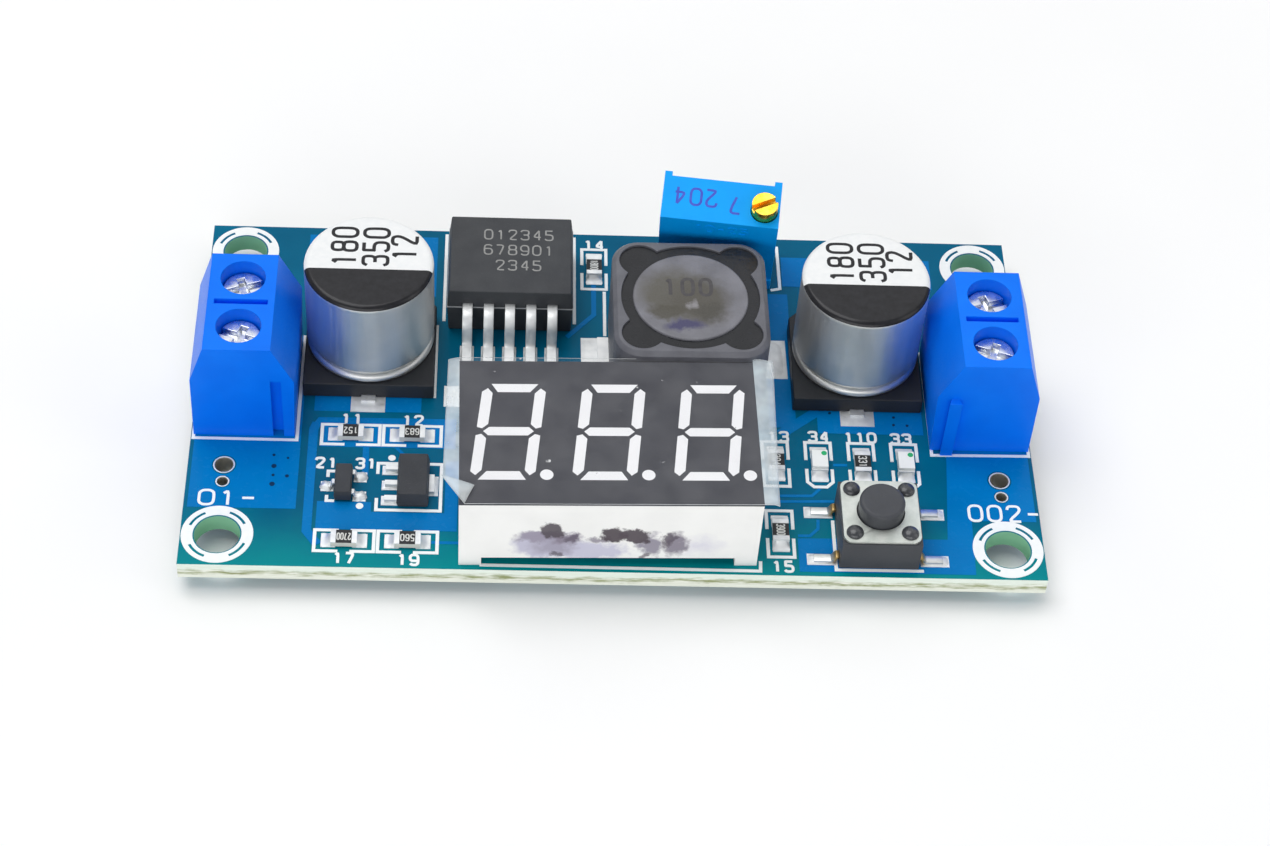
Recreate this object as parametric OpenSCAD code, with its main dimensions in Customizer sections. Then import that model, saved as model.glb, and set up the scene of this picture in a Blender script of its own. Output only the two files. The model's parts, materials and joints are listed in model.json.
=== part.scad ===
// Boost converter module: a circuit board that carries two screw terminals, a regulator,
// a shielded inductor, two can capacitors, a trimmer, a meter display and a push switch.
// Millimetres. X runs from the input end to the output end, Y away from the display side, Z up.
// The origin lies under the middle of the board, level with the tips of the clipped pins.

/* [Board] */
// Thickness of the board
board_t = 1.6; // [1:0.1:2.4]
// How far the clipped pins stand out below the board
pin_drop = 1.4; // [0.8:0.1:2.4]
// Height of the tinned pads above the board
pad_t = 0.06; // [0.03:0.01:0.12]
// Diameter of the four corner holes
corner_hole_d = 3.5; // [2.5:0.1:4]
// Distance of the corner holes from the ends of the board
corner_hole_inset_x = 2.8; // [2.5:0.1:4]
// Distance of the corner holes from the front and back edges
corner_hole_inset_y = 2.9; // [2.5:0.1:4]
// Diameter of the plated wire holes
wire_hole_d = 1.5; // [1:0.1:2]
// Diameter of the small plated holes beside them
test_hole_d = 0.9; // [0.5:0.1:1.2]
// Distance of a wire hole from the front edge
wire_hole_y = 9.7; // [8.5:0.1:10.5]
// Distance between a wire hole and its small hole
wire_hole_pitch = 1.65; // [1.5:0.05:2]

/* [Layout] */
// Clear strip between the ends of the board and the terminals
end_margin = 0.2; // [0:0.05:2]
// Clear strip in front of the display
front_margin = 0.67; // [0.4:0.01:3]
// Clear strip behind the foot of the trimmer
back_margin = 0.92; // [0.9:0.01:3]
// Gap between a terminal and its capacitor
terminal_cap_gap = 0.2; // [0.1:0.05:2]
// Gap between the input capacitor and the regulator
cap_regulator_gap = 0.85; // [0.4:0.05:3]
// Gap between the regulator and the inductor
regulator_inductor_gap = 2.95; // [2.6:0.05:5]
// Gap between the inductor and the output capacitor
inductor_cap_gap = 2.4; // [2.4:0.05:5]
// Gap between the display and the inductor
display_inductor_gap = 0.33; // [0.3:0.01:2]
// Gap between the inductor and the foot of the trimmer
inductor_trimmer_gap = 2.93; // [2.8:0.01:5]
// How far the input capacitor lies behind the middle of its terminal
input_cap_y = 4.3; // [3:0.1:5]
// How far the output capacitor lies behind the middle of its terminal
output_cap_y = 3.9; // [3:0.1:5]
// Offset of the display from the middle of the board
display_x = -0.74; // [-1.5:0.02:0]
// Distance of the upper chip row on the left from the front edge
upper_row_in = 13; // [12.5:0.05:13.4]
// Distance of the lower chip row on the left from the front edge
lower_row_in = 2.5; // [2:0.05:3]
// Distance of the chip row on the right from the front edge
led_row_in = 10.95; // [10.5:0.05:11.4]
// Distance of the single chip under the right row from the front edge
single_chip_in = 4; // [3.5:0.05:5]
// Distance of the chip beside the regulator from the back edge
back_chip_in = 4; // [3.5:0.05:5]
// Distance of the push switch from the front edge
switch_in = 3.85; // [3.7:0.05:4.2]
// Distance of the push switch from the first chip column on the right
switch_gap = 7.37; // [7.2:0.01:8]
// Distance of the three lead chip from the front edge
lead_chip_in = 7.75; // [7.2:0.05:8.2]
// Distance of the supply transistor from the front edge
transistor_in = 7.95; // [7.4:0.05:8.2]
// Distance of the rectifier diode's middle from the display
diode_in = 1.8; // [1.75:0.05:2.2]
// Turn of the display on the board
display_yaw = 1.2; // [-1.5:0.1:1.5]
// Turn of the inductor on the board
inductor_yaw = 0.7; // [-1:0.1:1]

/* [Terminal blocks] */
// Distance between the two poles
pole_pitch = 5; // [5:0.02:5.5]
// Depth of a terminal from the wire side to the back
terminal_d = 8.05; // [7.8:0.05:9]
// Height of a terminal
terminal_h = 10; // [9.6:0.1:12]
// Height of the waist where the sloped upper sides start
waist_h = 6.4; // [5:0.1:7]
// Run of the slope on the wire side
wire_side_run = 1.27; // [0.6:0.01:1.6]
// Run of the slope on the back side
back_side_run = 1.65; // [0.8:0.01:2]
// How far the foot of the back side is drawn in
back_foot_in = 0.2; // [0:0.05:0.6]
// Diameter of the screw wells
well_d = 3.45; // [3.4:0.05:3.8]
// Diameter of the screw heads
head_d = 3.2; // [2.8:0.05:3.3]
// Height of the screw heads
head_h = 1.3; // [1:0.05:1.6]
// Depth of the screw heads below the top
head_recess = 1.2; // [0.8:0.05:1.6]
// Width of the slots in a screw head
slot_w = 0.6; // [0.4:0.05:0.8]
// Depth of the slots in a screw head
slot_depth = 0.55; // [0.3:0.05:0.8]
// Diameter of the screw shanks
shank_d = 2.9; // [2.4:0.05:2.95]
// Height that a clamp rises when its screw is tightened
clamp_travel = 1.5; // [0.8:0.1:1.6]
// Clear height for the wire with the clamp open
wire_gap = 2.4; // [2:0.1:2.6]
// Length of a clamp along the wire
clamp_l = 3.2; // [3.1:0.05:3.4]
// Width of a clamp across the wire
clamp_w = 3.8; // [3.6:0.05:3.9]
// Thickness of a clamp's threaded top
clamp_top_t = 0.8; // [0.6:0.05:1]
// Thickness of a clamp's floor
clamp_floor_t = 0.7; // [0.5:0.05:0.8]
// Width of a wire entry
wire_entry_w = 2.6; // [2:0.1:2.8]
// Rim of the shallow mouth round a wire entry
wire_mouth_rim = 0.4; // [0.2:0.05:0.6]
// Depth of the shallow mouth round a wire entry
wire_mouth_depth = 0.3; // [0.2:0.05:0.5]
// Thickness of a contact
contact_t = 0.7; // [0.5:0.05:0.8]
// Width of a contact
contact_w = 2.4; // [1.6:0.1:2.5]
// Width of a contact's board pin
contact_pin_w = 1; // [0.8:0.05:1.2]
// Protrusion of the joining rib
rib_h = 0.55; // [0.3:0.05:0.6]

/* [Capacitors] */
// Diameter of the cans
can_d = 10.1; // [9:0.1:10.2]
// Height of the rolled bead at the foot of the cans
can_bead_h = 0.8; // [0.6:0.05:1]
// Height of the neck above the bead
can_neck_h = 0.3; // [0.2:0.05:0.6]
// Radius of the edge around the top of the cans
can_edge_r = 0.5; // [0.3:0.05:0.8]
// Height of a capacitor on the board
cap_h = 10.2; // [8:0.1:12]
// Side of the square base
cap_base = 10.3; // [10.2:0.1:11.5]
// Thickness of the base
cap_base_t = 1.5; // [1:0.1:2]
// Cut of the two corners on the positive side
cap_base_cut = 1.7; // [1:0.1:2.2]
// Width of a flat terminal
cap_lead_w = 1.1; // [0.8:0.1:1.4]
// Thickness of a flat terminal
cap_lead_t = 0.25; // [0.2:0.05:0.4]
// How far a flat terminal shows past the base
cap_lead_out = 0.55; // [0.3:0.05:0.9]
// Width of a capacitor's pad
cap_pad_w = 2.7; // [2:0.1:3]
// Length of a capacitor's pad
cap_pad_l = 3.6; // [3:0.1:4.2]

/* [Regulator] */
// Width of the moulded body
reg_w = 10.1; // [9.6:0.1:11]
// Depth of the moulded body
reg_d = 8.7; // [8.2:0.1:9.4]
// Height of the moulded body
reg_h = 4.44; // [4:0.02:5]
// Height of the parting line
reg_parting = 2.75; // [2.2:0.05:3]
// Draw-in of the sides from the parting line to the top
reg_draft = 0.18; // [0.05:0.01:0.3]
// Pitch of the leads
reg_pitch = 1.7; // [1.5:0.01:1.8]
// Width of the leads
reg_lead_w = 0.81; // [0.6:0.01:0.9]
// Thickness of the leads
reg_lead_t = 0.5; // [0.4:0.02:0.6]
// Reach of the leads from the body
reg_reach = 4.65; // [4:0.05:5]
// Straight start of the leads at the body
reg_shoulder = 0.5; // [0.3:0.05:0.8]
// Radius of the upper bend in the leads
reg_bend_r = 1.2; // [0.8:0.05:1.3]
// Radius of the lower bend in the leads
reg_foot_r = 0.6; // [0.4:0.05:0.8]
// Depth of the heat tab behind the body
reg_tab = 1.35; // [1:0.05:1.6]
// Thickness of the heat tab
reg_tab_t = 1.27; // [1:0.01:1.5]
// Clear strip behind the heat tab
reg_back_margin = 1.1; // [0.5:0.05:2]

/* [Inductor] */
// Side of the square shield
ind_w = 12.2; // [11.5:0.1:13]
// Height of the inductor
ind_h = 8; // [6:0.1:10]
// Radius of the shield's corners
ind_corner_r = 2.2; // [1.5:0.1:2.6]
// Diameter of the round opening in the shield
ind_opening_d = 10.9; // [10.6:0.1:11.2]
// Diameter of the drum core's upper disc
drum_d = 9.1; // [8.8:0.1:9.8]
// Thickness of the drum core's two discs
drum_disc_t = 1.6; // [1:0.1:2]
// Diameter of the drum core's stem
drum_stem_d = 5.4; // [4:0.1:6]
// Diameter of the lobes that the adhesive fills
lobe_d = 3.3; // [2.8:0.1:3.6]
// Wall of the shield beside the lobes
lobe_wall = 0.6; // [0.5:0.05:0.8]
// Thickness of the terminal plates
ind_plate_t = 0.4; // [0.2:0.05:0.6]
// Length of the terminal plates
ind_plate_l = 3.6; // [3:0.1:4.5]
// Width of the terminal plates
ind_plate_w = 3.6; // [2.5:0.1:5]
// How far the terminal plates show past the shield
ind_plate_out = 0.9; // [0.6:0.05:1.2]

/* [Trimmer] */
// Width of the trimmer
trim_w = 9.45; // [9.2:0.05:10]
// Depth of the trimmer
trim_d = 4.3; // [4.2:0.05:4.9]
// Height of the trimmer
trim_h = 10.03; // [9.6:0.01:11]
// Forward lean of the trimmer
trim_lean = 14.6; // [0:0.1:15]
// Turn of the trimmer on the board
trim_yaw = -6.4; // [-7:0.1:0]
// Offset of the trimmer to the right of the inductor's middle
trim_offset_x = 2.62; // [1.5:0.02:3.5]
// Height of the four feet
trim_foot_h = 0.4; // [0.2:0.05:0.6]
// Wall of the housing
trim_wall = 0.6; // [0.5:0.05:0.7]
// Height of the proud band along the top of the front
trim_band_h = 2.7; // [1.5:0.1:4]
// How far the front below the band is set back
trim_band_step = 0.2; // [0.1:0.05:0.3]
// Diameter of the brass screw head
trim_screw_d = 2.1; // [1.8:0.05:2.2]
// Height of the brass screw head above the top
trim_screw_up = 1.15; // [0.6:0.05:1.6]
// Distance of the screw from the right side
trim_screw_in_x = 1.25; // [1.2:0.05:1.4]
// Distance of the screw from the front
trim_screw_in_y = 1.5; // [1.4:0.05:1.7]
// Diameter of the worm on the screw
worm_d = 1.2; // [0.9:0.05:1.2]
// Diameter of the worm wheel
wheel_d = 4.7; // [4:0.1:5]
// Thickness of the worm wheel
wheel_t = 1; // [0.8:0.05:1.2]
// Thickness of the ceramic element plate
element_t = 0.7; // [0.5:0.05:0.9]
// Diameter of the trimmer's pins
trim_pin_d = 0.5; // [0.4:0.05:0.6]

/* [Display] */
// Width of the display
disp_w = 22.6; // [21.6:0.1:24]
// Depth of the display
disp_d = 14.05; // [13.6:0.05:15]
// Height of the display
disp_h = 7.35; // [6.5:0.05:8.5]
// Wall of the case
disp_wall = 0.8; // [0.6:0.05:1]
// Thickness of the case's front with the windows
disp_front_t = 1; // [0.6:0.05:1.4]
// Thickness of the dark layer on the front
disp_face_t = 0.15; // [0.1:0.01:0.3]
// Height of the feet at both ends
disp_foot_h = 0.9; // [0.6:0.05:1.3]
// Width of the feet at both ends
disp_foot_w = 1.7; // [1.2:0.1:2.5]
// Height of the inner board's underside
disp_board_z = 1.5; // [1.4:0.05:2]
// Thickness of the inner board
disp_board_t = 1.2; // [0.8:0.1:1.6]
// Height of a digit
digit_h = 9.4; // [8.6:0.1:10]
// Width of a digit
digit_w = 4.85; // [4.6:0.05:5.2]
// Pitch of the digits
digit_pitch = 7.6; // [7.4:0.02:7.8]
// Slant of the digits
digit_slant = 6.5; // [0:0.5:10]
// Width of the bars
bar_w = 0.82; // [0.7:0.02:1]
// Gap between neighbouring bars
bar_gap = 0.3; // [0.16:0.02:0.36]
// Diameter of the dots
dot_d = 1; // [0.7:0.05:1.1]
// Distance of the dots' middles from the right side of their digits
dot_out = 0.38; // [0.3:0.02:0.6]
// Shift of the digits to the left of the middle
digit_shift = 0; // [-0.3:0.05:0.6]
// Thickness of the film
film_t = 0.1; // [0.06:0.01:0.2]
// How far the film hangs over at the ends
film_over = 1.25; // [0.6:0.05:1.6]
// Length of the folded film corner along the left edge
fold_back = 2.7; // [1.5:0.1:4]
// Length of the folded film corner along the front edge
fold_side = 1.7; // [1:0.1:3]

/* [Push switch] */
// Side of the switch base
sw_w = 6.1; // [5.8:0.1:6.6]
// Height of the base under the cover plate
sw_base_h = 2.9; // [2.6:0.05:3.6]
// Side of the cover plate
sw_plate_w = 5.9; // [5.7:0.05:6.1]
// Thickness of the cover plate
sw_plate_t = 0.28; // [0.2:0.02:0.4]
// Radius of the cover plate's corners
sw_plate_r = 0.6; // [0.3:0.05:0.8]
// Diameter of the button
button_d = 3.5; // [3.2:0.05:3.6]
// Height of the button above the cover plate
button_up = 1.35; // [0.6:0.05:4]
// Travel of the button
button_travel = 0.25; // [0.15:0.01:0.35]
// Diameter of the riveted heads
rivet_d = 1.25; // [1:0.05:1.4]
// Distance of the riveted heads from the middle
rivet_off = 2.1; // [2:0.05:2.2]
// Thickness of the contact dome
dome_t = 0.1; // [0.06:0.01:0.15]
// Width of the legs
sw_leg_w = 0.7; // [0.5:0.05:0.9]
// Pitch of the legs
sw_leg_pitch = 4.55; // [4.2:0.05:4.7]
// Reach of the legs from the base
sw_leg_reach = 1.9; // [1.4:0.05:2.2]

/* [Chips] */
// Length of a chip resistor
chip_l = 2; // [1.8:0.05:2.2]
// Width of a chip resistor
chip_w = 1.25; // [1.1:0.05:1.4]
// Thickness of a chip resistor
chip_t = 0.55; // [0.4:0.05:0.7]
// Length of the metal end caps
end_cap_l = 0.4; // [0.3:0.05:0.5]
// Thickness of the metal end caps
end_cap_t = 0.05; // [0.03:0.01:0.08]
// Height of an indicator diode
led_h = 0.8; // [0.7:0.05:1.1]
// Distance of the first chip column from the display
chip_column_gap = 3.76; // [3.6:0.02:4.5]
// Pitch of the two chip columns on the left
left_column_pitch = 4.8; // [4.7:0.05:5.2]
// Distance of the first chip column on the right from the display
right_column_gap = 2.12; // [2:0.02:3]
// Pitch of the chip columns on the right
right_column_pitch = 3.4; // [3.2:0.05:3.6]

/* [Small packages] */
// Width of the three lead chip
lead_chip_w = 1.35; // [1.2:0.05:1.6]
// Length of the three lead chip
lead_chip_l = 2.95; // [2.8:0.05:3.1]
// Height of the three lead chip
lead_chip_h = 1.05; // [0.9:0.05:1.3]
// Pitch of its two leads on the right
lead_chip_pitch = 1.9; // [1.7:0.05:2.1]
// Offset of the three lead chip from its column
lead_chip_shift = 0.3; // [0:0.05:0.5]
// Width of the supply transistor
transistor_w = 2.45; // [2.3:0.05:2.6]
// Length of the supply transistor
transistor_l = 4.3; // [4.1:0.05:4.6]
// Height of the supply transistor
transistor_h = 1.5; // [1.4:0.05:1.6]
// Pitch of the supply transistor's leads
transistor_pitch = 1.5; // [1.4:0.05:1.6]
// Reach of the supply transistor's leads
transistor_reach = 0.95; // [0.8:0.05:1.1]
// Width of the supply transistor's tab
transistor_tab_w = 1.7; // [1.4:0.05:1.9]
// Offset of the supply transistor from its column
transistor_shift = 0.25; // [0:0.05:0.4]
// Width of the meter chip
meter_w = 6.5; // [6.4:0.05:6.8]
// Depth of the meter chip
meter_d = 4.4; // [4.2:0.05:4.6]
// Height of the meter chip
meter_h = 0.9; // [0.8:0.05:1]
// Pitch of the meter chip's leads
meter_pitch = 0.65; // [0.6:0.01:0.68]
// Length of the rectifier diode
diode_l = 4.3; // [4:0.05:4.6]
// Width of the rectifier diode
diode_w = 2.6; // [2.4:0.05:2.8]
// Height of the rectifier diode
diode_h = 2.1; // [1.9:0.05:2.3]
// Gap between the rectifier diode and the inductor
diode_gap = 0.8; // [0.7:0.05:1.3]
// Gap between the chip beside the regulator and the inductor's side
back_chip_gap = 1.1; // [0.9:0.05:1.3]

/* [Hidden] */
$fn = 48;
fit = 0.05;
run = 0.1;
cut = 1;
board_w = 2 * (end_margin + terminal_d + terminal_cap_gap + cap_base) + cap_regulator_gap + reg_w
    + regulator_inductor_gap + ind_w + inductor_cap_gap;
board_d = front_margin + disp_d + display_inductor_gap + ind_w + inductor_trimmer_gap + trim_d + back_margin;
board_top = pin_drop + board_t;
seat_z = board_top + pad_t;
left_end = -board_w / 2;
front_edge = -board_d / 2;
terminal_x = board_w / 2 - end_margin - terminal_d / 2;
input_cap_x = left_end + end_margin + terminal_d + terminal_cap_gap + cap_base / 2;
output_cap_x = -input_cap_x;
reg_x = input_cap_x + cap_base / 2 + cap_regulator_gap + reg_w / 2;
reg_y = board_d / 2 - reg_back_margin - reg_tab - reg_d / 2;
reg_root_z = reg_parting - 0.1;
ind_x = reg_x + reg_w / 2 + regulator_inductor_gap + ind_w / 2;
ind_plate_y = 0.6;
display_y = front_edge + front_margin + disp_d / 2;
ind_y = display_y + disp_d / 2 + display_inductor_gap + ind_w / 2;
trim_x = ind_x + trim_offset_x;
trim_y = ind_y + ind_w / 2 + inductor_trimmer_gap;

// Places of the small parts, from the sides of the display and the front edge
left_column = display_x - disp_w / 2 - chip_column_gap;
outer_column = left_column - left_column_pitch;
right_column = display_x + disp_w / 2 + right_column_gap;
upper_row = front_edge + upper_row_in;
lower_row = front_edge + lower_row_in;
led_row = front_edge + led_row_in;
switch_x = right_column + switch_gap;
switch_y = front_edge + switch_in;
lead_chip_x = outer_column - lead_chip_shift;
lead_chip_y = front_edge + lead_chip_in;
transistor_x = left_column + transistor_shift;
transistor_y = front_edge + transistor_in;
diode_x = ind_x - ind_w / 2 - diode_gap - diode_l / 2;
diode_y = display_y + disp_d / 2 + diode_in;

// Each chip resistor: name, place and turn
RESISTORS = [
    ["resistor_1", [outer_column, upper_row], 0],
    ["resistor_2", [left_column, upper_row], 0],
    ["resistor_3", [right_column, led_row], 90],
    ["resistor_4", [ind_x - ind_w / 2 - back_chip_gap, board_d / 2 - back_chip_in], 90],
    ["resistor_5", [right_column, front_edge + single_chip_in], 90],
    ["resistor_7", [outer_column, lower_row], 0],
    ["resistor_9", [left_column, lower_row], 0],
    ["resistor_10", [right_column + 2 * right_column_pitch, led_row], 90]
];
LEDS = [
    ["input_led", [right_column + right_column_pitch, led_row], 90],
    ["output_led", [right_column + 3 * right_column_pitch, led_row], 90]
];
CHIPS = concat(RESISTORS, LEDS);
chip_pad_l = end_cap_l + 0.7;
chip_pad_w = chip_w + 0.05;
chip_pad_off = chip_l / 2 + 0.2;

// Terminal heights above the board, from the top down
top_in = -terminal_d / 2 + back_side_run;
top_out = terminal_d / 2 - wire_side_run;
screw_x = (top_in + top_out) / 2;
head_top = terminal_h - head_recess;
head_under = head_top - head_h;
shoulder_t = 0.55;
chamber_top = head_under - fit - shoulder_t;
clamp_top = chamber_top - 0.15 - clamp_travel;
contact_top = clamp_top - clamp_top_t - 0.2;
contact_under = contact_top - contact_t;
clamp_floor = contact_under - wire_gap;
clamp_low = clamp_floor - clamp_floor_t;
clamp_wall = (clamp_w - shank_d) / 2 - run;
chamber_l = clamp_l + 2 * run;
chamber_w = clamp_w + 2 * run;
contact_pin_t = 0.8;
contact_pin_x = screw_x - chamber_l / 2 - 0.2 - contact_pin_t / 2;
contact_hole_d = contact_pin_w + 0.4;
rib_x = -terminal_d / 2 + 1.43;
rib_neck = 0.6;
rib_face = 1;

// Trimmer heights and places in its own frame, which starts at its front bottom edge
trim_screw_x = trim_w / 2 - trim_screw_in_x;
trim_cavity_x = trim_w / 2 - trim_wall;
trim_cavity_top = trim_h - 0.9;
trim_back = trim_d - 0.4;
element_y = trim_back - element_t;
wheel_x = trim_screw_x - worm_d / 2 - run - wheel_d / 2;
wheel_z = trim_h / 2 + 0.4;
wheel_axle_d = 0.9;
trim_pin_pitch = 2.54;
trim_stub = 0.35;

// Display pins and switch places
disp_pin_pitch = 2.54;
disp_row_pitch = 10.16;
disp_pin_w = 0.5;
disp_pin_t = 0.3;
disp_cavity_top = disp_h - disp_face_t - disp_front_t;
disp_pin_hole_d = 0.9;
sw_plate_top = sw_base_h + sw_plate_t;
button_flange_d = 4.6;
button_flange_t = 0.5;
sw_well_d = button_flange_d + 2 * run;
sw_floor = 0.8;
dome_d = 4;
dome_rise = 0.4;

// Shared shapes

module block(size, at = [0, 0, 0]) {
    translate([at.x - size.x / 2, at.y - size.y / 2, at.z]) cube(size);
}

module rounded_block(size, r) {
    block([size.x - 2 * r, size.y, size.z]);
    block([size.x, size.y - 2 * r, size.z]);
    for (sx = [-1, 1], sy = [-1, 1])
        translate([sx * (size.x / 2 - r), sy * (size.y / 2 - r), 0]) cylinder(r = r, h = size.z);
}

// A moulded block that is widest at its parting line
module moulded_block(w, d, h, parting, draft) {
    skin = 0.01;
    low = 0.6 * draft;
    hull() {
        block([w, d, skin], [0, 0, parting]);
        block([w - 2 * draft, d - 2 * draft, skin], [0, 0, h - skin]);
    }
    hull() {
        block([w, d, skin], [0, 0, parting]);
        block([w - 2 * low, d - 2 * low, skin]);
    }
}

// A bent lead that leaves a body at height drop, runs along +X and ends in a flat foot
module bent_lead(width, reach, drop, t, shoulder, knee) {
    rotate([90, 0, 0]) linear_extrude(height = width, center = true)
        polygon([
            [0, drop], [0, drop + t], [shoulder + 0.6 * t, drop + t], [shoulder + t, drop + 0.6 * t],
            [knee + t, t], [reach, t], [reach, 0], [knee + 0.3 * t, 0], [knee, 0.3 * t],
            [shoulder + 0.1 * t, drop]
        ]);
}

function arc(middle, r, from, to) = [
    for (step = [0:6]) middle + r * [cos(from + (to - from) * step / 6), sin(from + (to - from) * step / 6)]
];

// A lead with two round bends that leaves a body at height drop, runs along +X and ends in a flat foot
module round_lead(width, reach, drop, t, shoulder, bend_r, foot_r) {
    upper = [shoulder, drop + t / 2 - bend_r];
    lower = [shoulder + bend_r + foot_r, t / 2 + foot_r];
    rotate([90, 0, 0]) linear_extrude(height = width, center = true)
        polygon(concat(
            [[0, drop + t]], arc(upper, bend_r + t / 2, 90, 0), arc(lower, foot_r - t / 2, 180, 270),
            [[reach, t], [reach, 0]], arc(lower, foot_r + t / 2, 270, 180), arc(upper, bend_r - t / 2, 0, 90),
            [[0, drop]]
        ));
}

// Places that carry a component's own frame

module at_terminal(side) {
    translate([side * terminal_x, 0, board_top]) rotate(side > 0 ? 0 : 180) children();
}

module at_pole(side, pole) {
    at_terminal(side) translate([screw_x, side * pole * pole_pitch / 2, 0]) children();
}

module at_chip(chip) {
    translate([chip[1].x, chip[1].y, seat_z]) rotate(chip[2]) children();
}

module at_regulator() {
    translate([reg_x, reg_y, seat_z]) children();
}

module at_inductor() {
    translate([ind_x, ind_y, seat_z]) rotate(inductor_yaw) children();
}

module at_trimmer() {
    translate([trim_x, trim_y, board_top]) rotate(trim_yaw) rotate([trim_lean, 0, 0]) children();
}

module at_display() {
    translate([display_x, display_y, board_top]) rotate(display_yaw) children();
}

module at_switch() {
    translate([switch_x, switch_y, seat_z]) children();
}

// Places of the pins that pass through the board

module at_contact_pins() {
    for (side = [-1, 1], pole = [-1, 1])
        at_terminal(side) translate([contact_pin_x, pole * pole_pitch / 2, -board_top]) children();
}

module at_display_pins() {
    translate([display_x, display_y, 0]) rotate(display_yaw)
        for (column = [-2.5:2.5], row = [-0.5, 0.5])
            translate([column * disp_pin_pitch, row * disp_row_pitch, 0]) children();
}

// Where a leaning pin's stub ends, back from the trimmer's foot and above the board
trim_stub_y = (element_y + element_t / 2) * cos(trim_lean) - (trim_foot_h - trim_stub) * sin(trim_lean);
trim_stub_z = (element_y + element_t / 2) * sin(trim_lean) + (trim_foot_h - trim_stub) * cos(trim_lean);

module at_trimmer_pins() {
    translate([trim_x, trim_y, 0]) rotate(trim_yaw)
        for (column = [-1:1]) translate([column * trim_pin_pitch, trim_stub_y, 0]) children();
}

// Board

module circuit_board() {
    hole_x = board_w / 2 - corner_hole_inset_x;
    hole_y = board_d / 2 - corner_hole_inset_y;
    color("#0a6aa6") difference() {
        block([board_w, board_d, board_t], [0, 0, pin_drop]);
        for (sx = [-1, 1], sy = [-1, 1])
            translate([sx * hole_x, sy * hole_y, pin_drop - cut])
                cylinder(d = corner_hole_d, h = board_t + 2 * cut);
        for (sx = [-1, 1]) translate([sx * hole_x, front_edge + wire_hole_y, pin_drop - cut]) {
            cylinder(d = wire_hole_d, h = board_t + 2 * cut);
            translate([0, -wire_hole_pitch, 0]) cylinder(d = test_hole_d, h = board_t + 2 * cut);
        }
        at_contact_pins() cylinder(d = contact_hole_d, h = board_top + cut);
        at_display_pins() cylinder(d = disp_pin_hole_d, h = board_top + cut);
        at_trimmer_pins() cylinder(d = trim_pin_d + 0.3, h = board_top + cut);
    }
}

module pad(size, at) {
    block([size.x, size.y, pad_t], [at.x, at.y, board_top]);
}

module solder_pads() {
    color("#d8dade") {
        for (chip = CHIPS)
            translate([chip[1].x, chip[1].y, 0]) rotate(chip[2])
                for (side = [-1, 1]) pad([chip_pad_l, chip_pad_w], [side * chip_pad_off, 0]);
        for (cap = [[input_cap_x, input_cap_y], [output_cap_x, output_cap_y]], side = [-1, 1])
            pad([cap_pad_w, cap_pad_l], [cap.x, cap.y + side * (cap_base / 2 - 0.3)]);
        for (column = [-2:2])
            pad([reg_lead_w + 0.3, 3.1], [reg_x + column * reg_pitch, reg_y - reg_d / 2 - reg_reach + 1.4]);
        pad([reg_w, reg_d + reg_tab - 1.5], [reg_x, reg_y + reg_tab / 2 + 0.9]);
        translate([ind_x, ind_y, 0]) rotate(inductor_yaw)
            for (side = [-1, 1]) pad([ind_plate_l + 0.8, ind_plate_w + 0.5], [side * ind_w / 2, ind_plate_y]);
        translate([switch_x, switch_y, 0])
            for (sx = [-1, 1], sy = [-1, 1])
                pad([2.2, 1.05], [sx * (sw_w / 2 + sw_leg_reach - 0.6), sy * sw_leg_pitch / 2]);
        translate([lead_chip_x, lead_chip_y, 0]) for (lead = LEAD_CHIP_LEADS)
            pad([1, 0.95], [lead.x * (lead_chip_w / 2 + 0.58), lead.y]);
        translate([transistor_x, transistor_y, 0]) {
            for (row = [-1:1])
                pad([transistor_reach + 0.35, 0.9], [-transistor_w / 2 - 0.55, transistor_pitch * row]);
            pad([1.6, transistor_tab_w + 0.2], [transistor_w / 2 - 0.1, 0]);
        }
        translate([display_x, display_y, 0]) rotate(display_yaw)
            for (column = [-4.5:4.5], row = [-1, 1])
                pad([0.4, 1.4], [column * meter_pitch, row * (meter_d / 2 + 0.6)]);
        translate([diode_x, diode_y, 0]) for (side = [-1, 1]) pad([1.8, 1.7], [side * diode_l / 2, 0]);
    }
}

module solder_cone(foot_d) {
    tip_h = 0.3 * pin_drop;
    translate([0, 0, tip_h]) cylinder(d1 = 0.55 * foot_d, d2 = foot_d, h = pin_drop - tip_h);
}

module solder_joints() {
    color("#c4c7cb") {
        at_contact_pins() difference() {
            solder_cone(2.6);
            block([contact_pin_t, contact_pin_w, board_top]);
        }
        at_display_pins() difference() {
            solder_cone(1.7);
            block([disp_pin_t, disp_pin_w, board_top]);
        }
        at_trimmer_pins() difference() {
            solder_cone(1.7);
            cylinder(d = trim_pin_d, h = board_top);
        }
    }
}

// Terminal blocks

module joining_dovetail(grow) {
    polygon([
        [-rib_neck / 2 - grow, cut], [rib_neck / 2 + grow, cut], [rib_neck / 2 + grow, 0],
        [rib_face / 2 + grow, -rib_h - grow], [-rib_face / 2 - grow, -rib_h - grow], [-rib_neck / 2 - grow, 0]
    ]);
}

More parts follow.
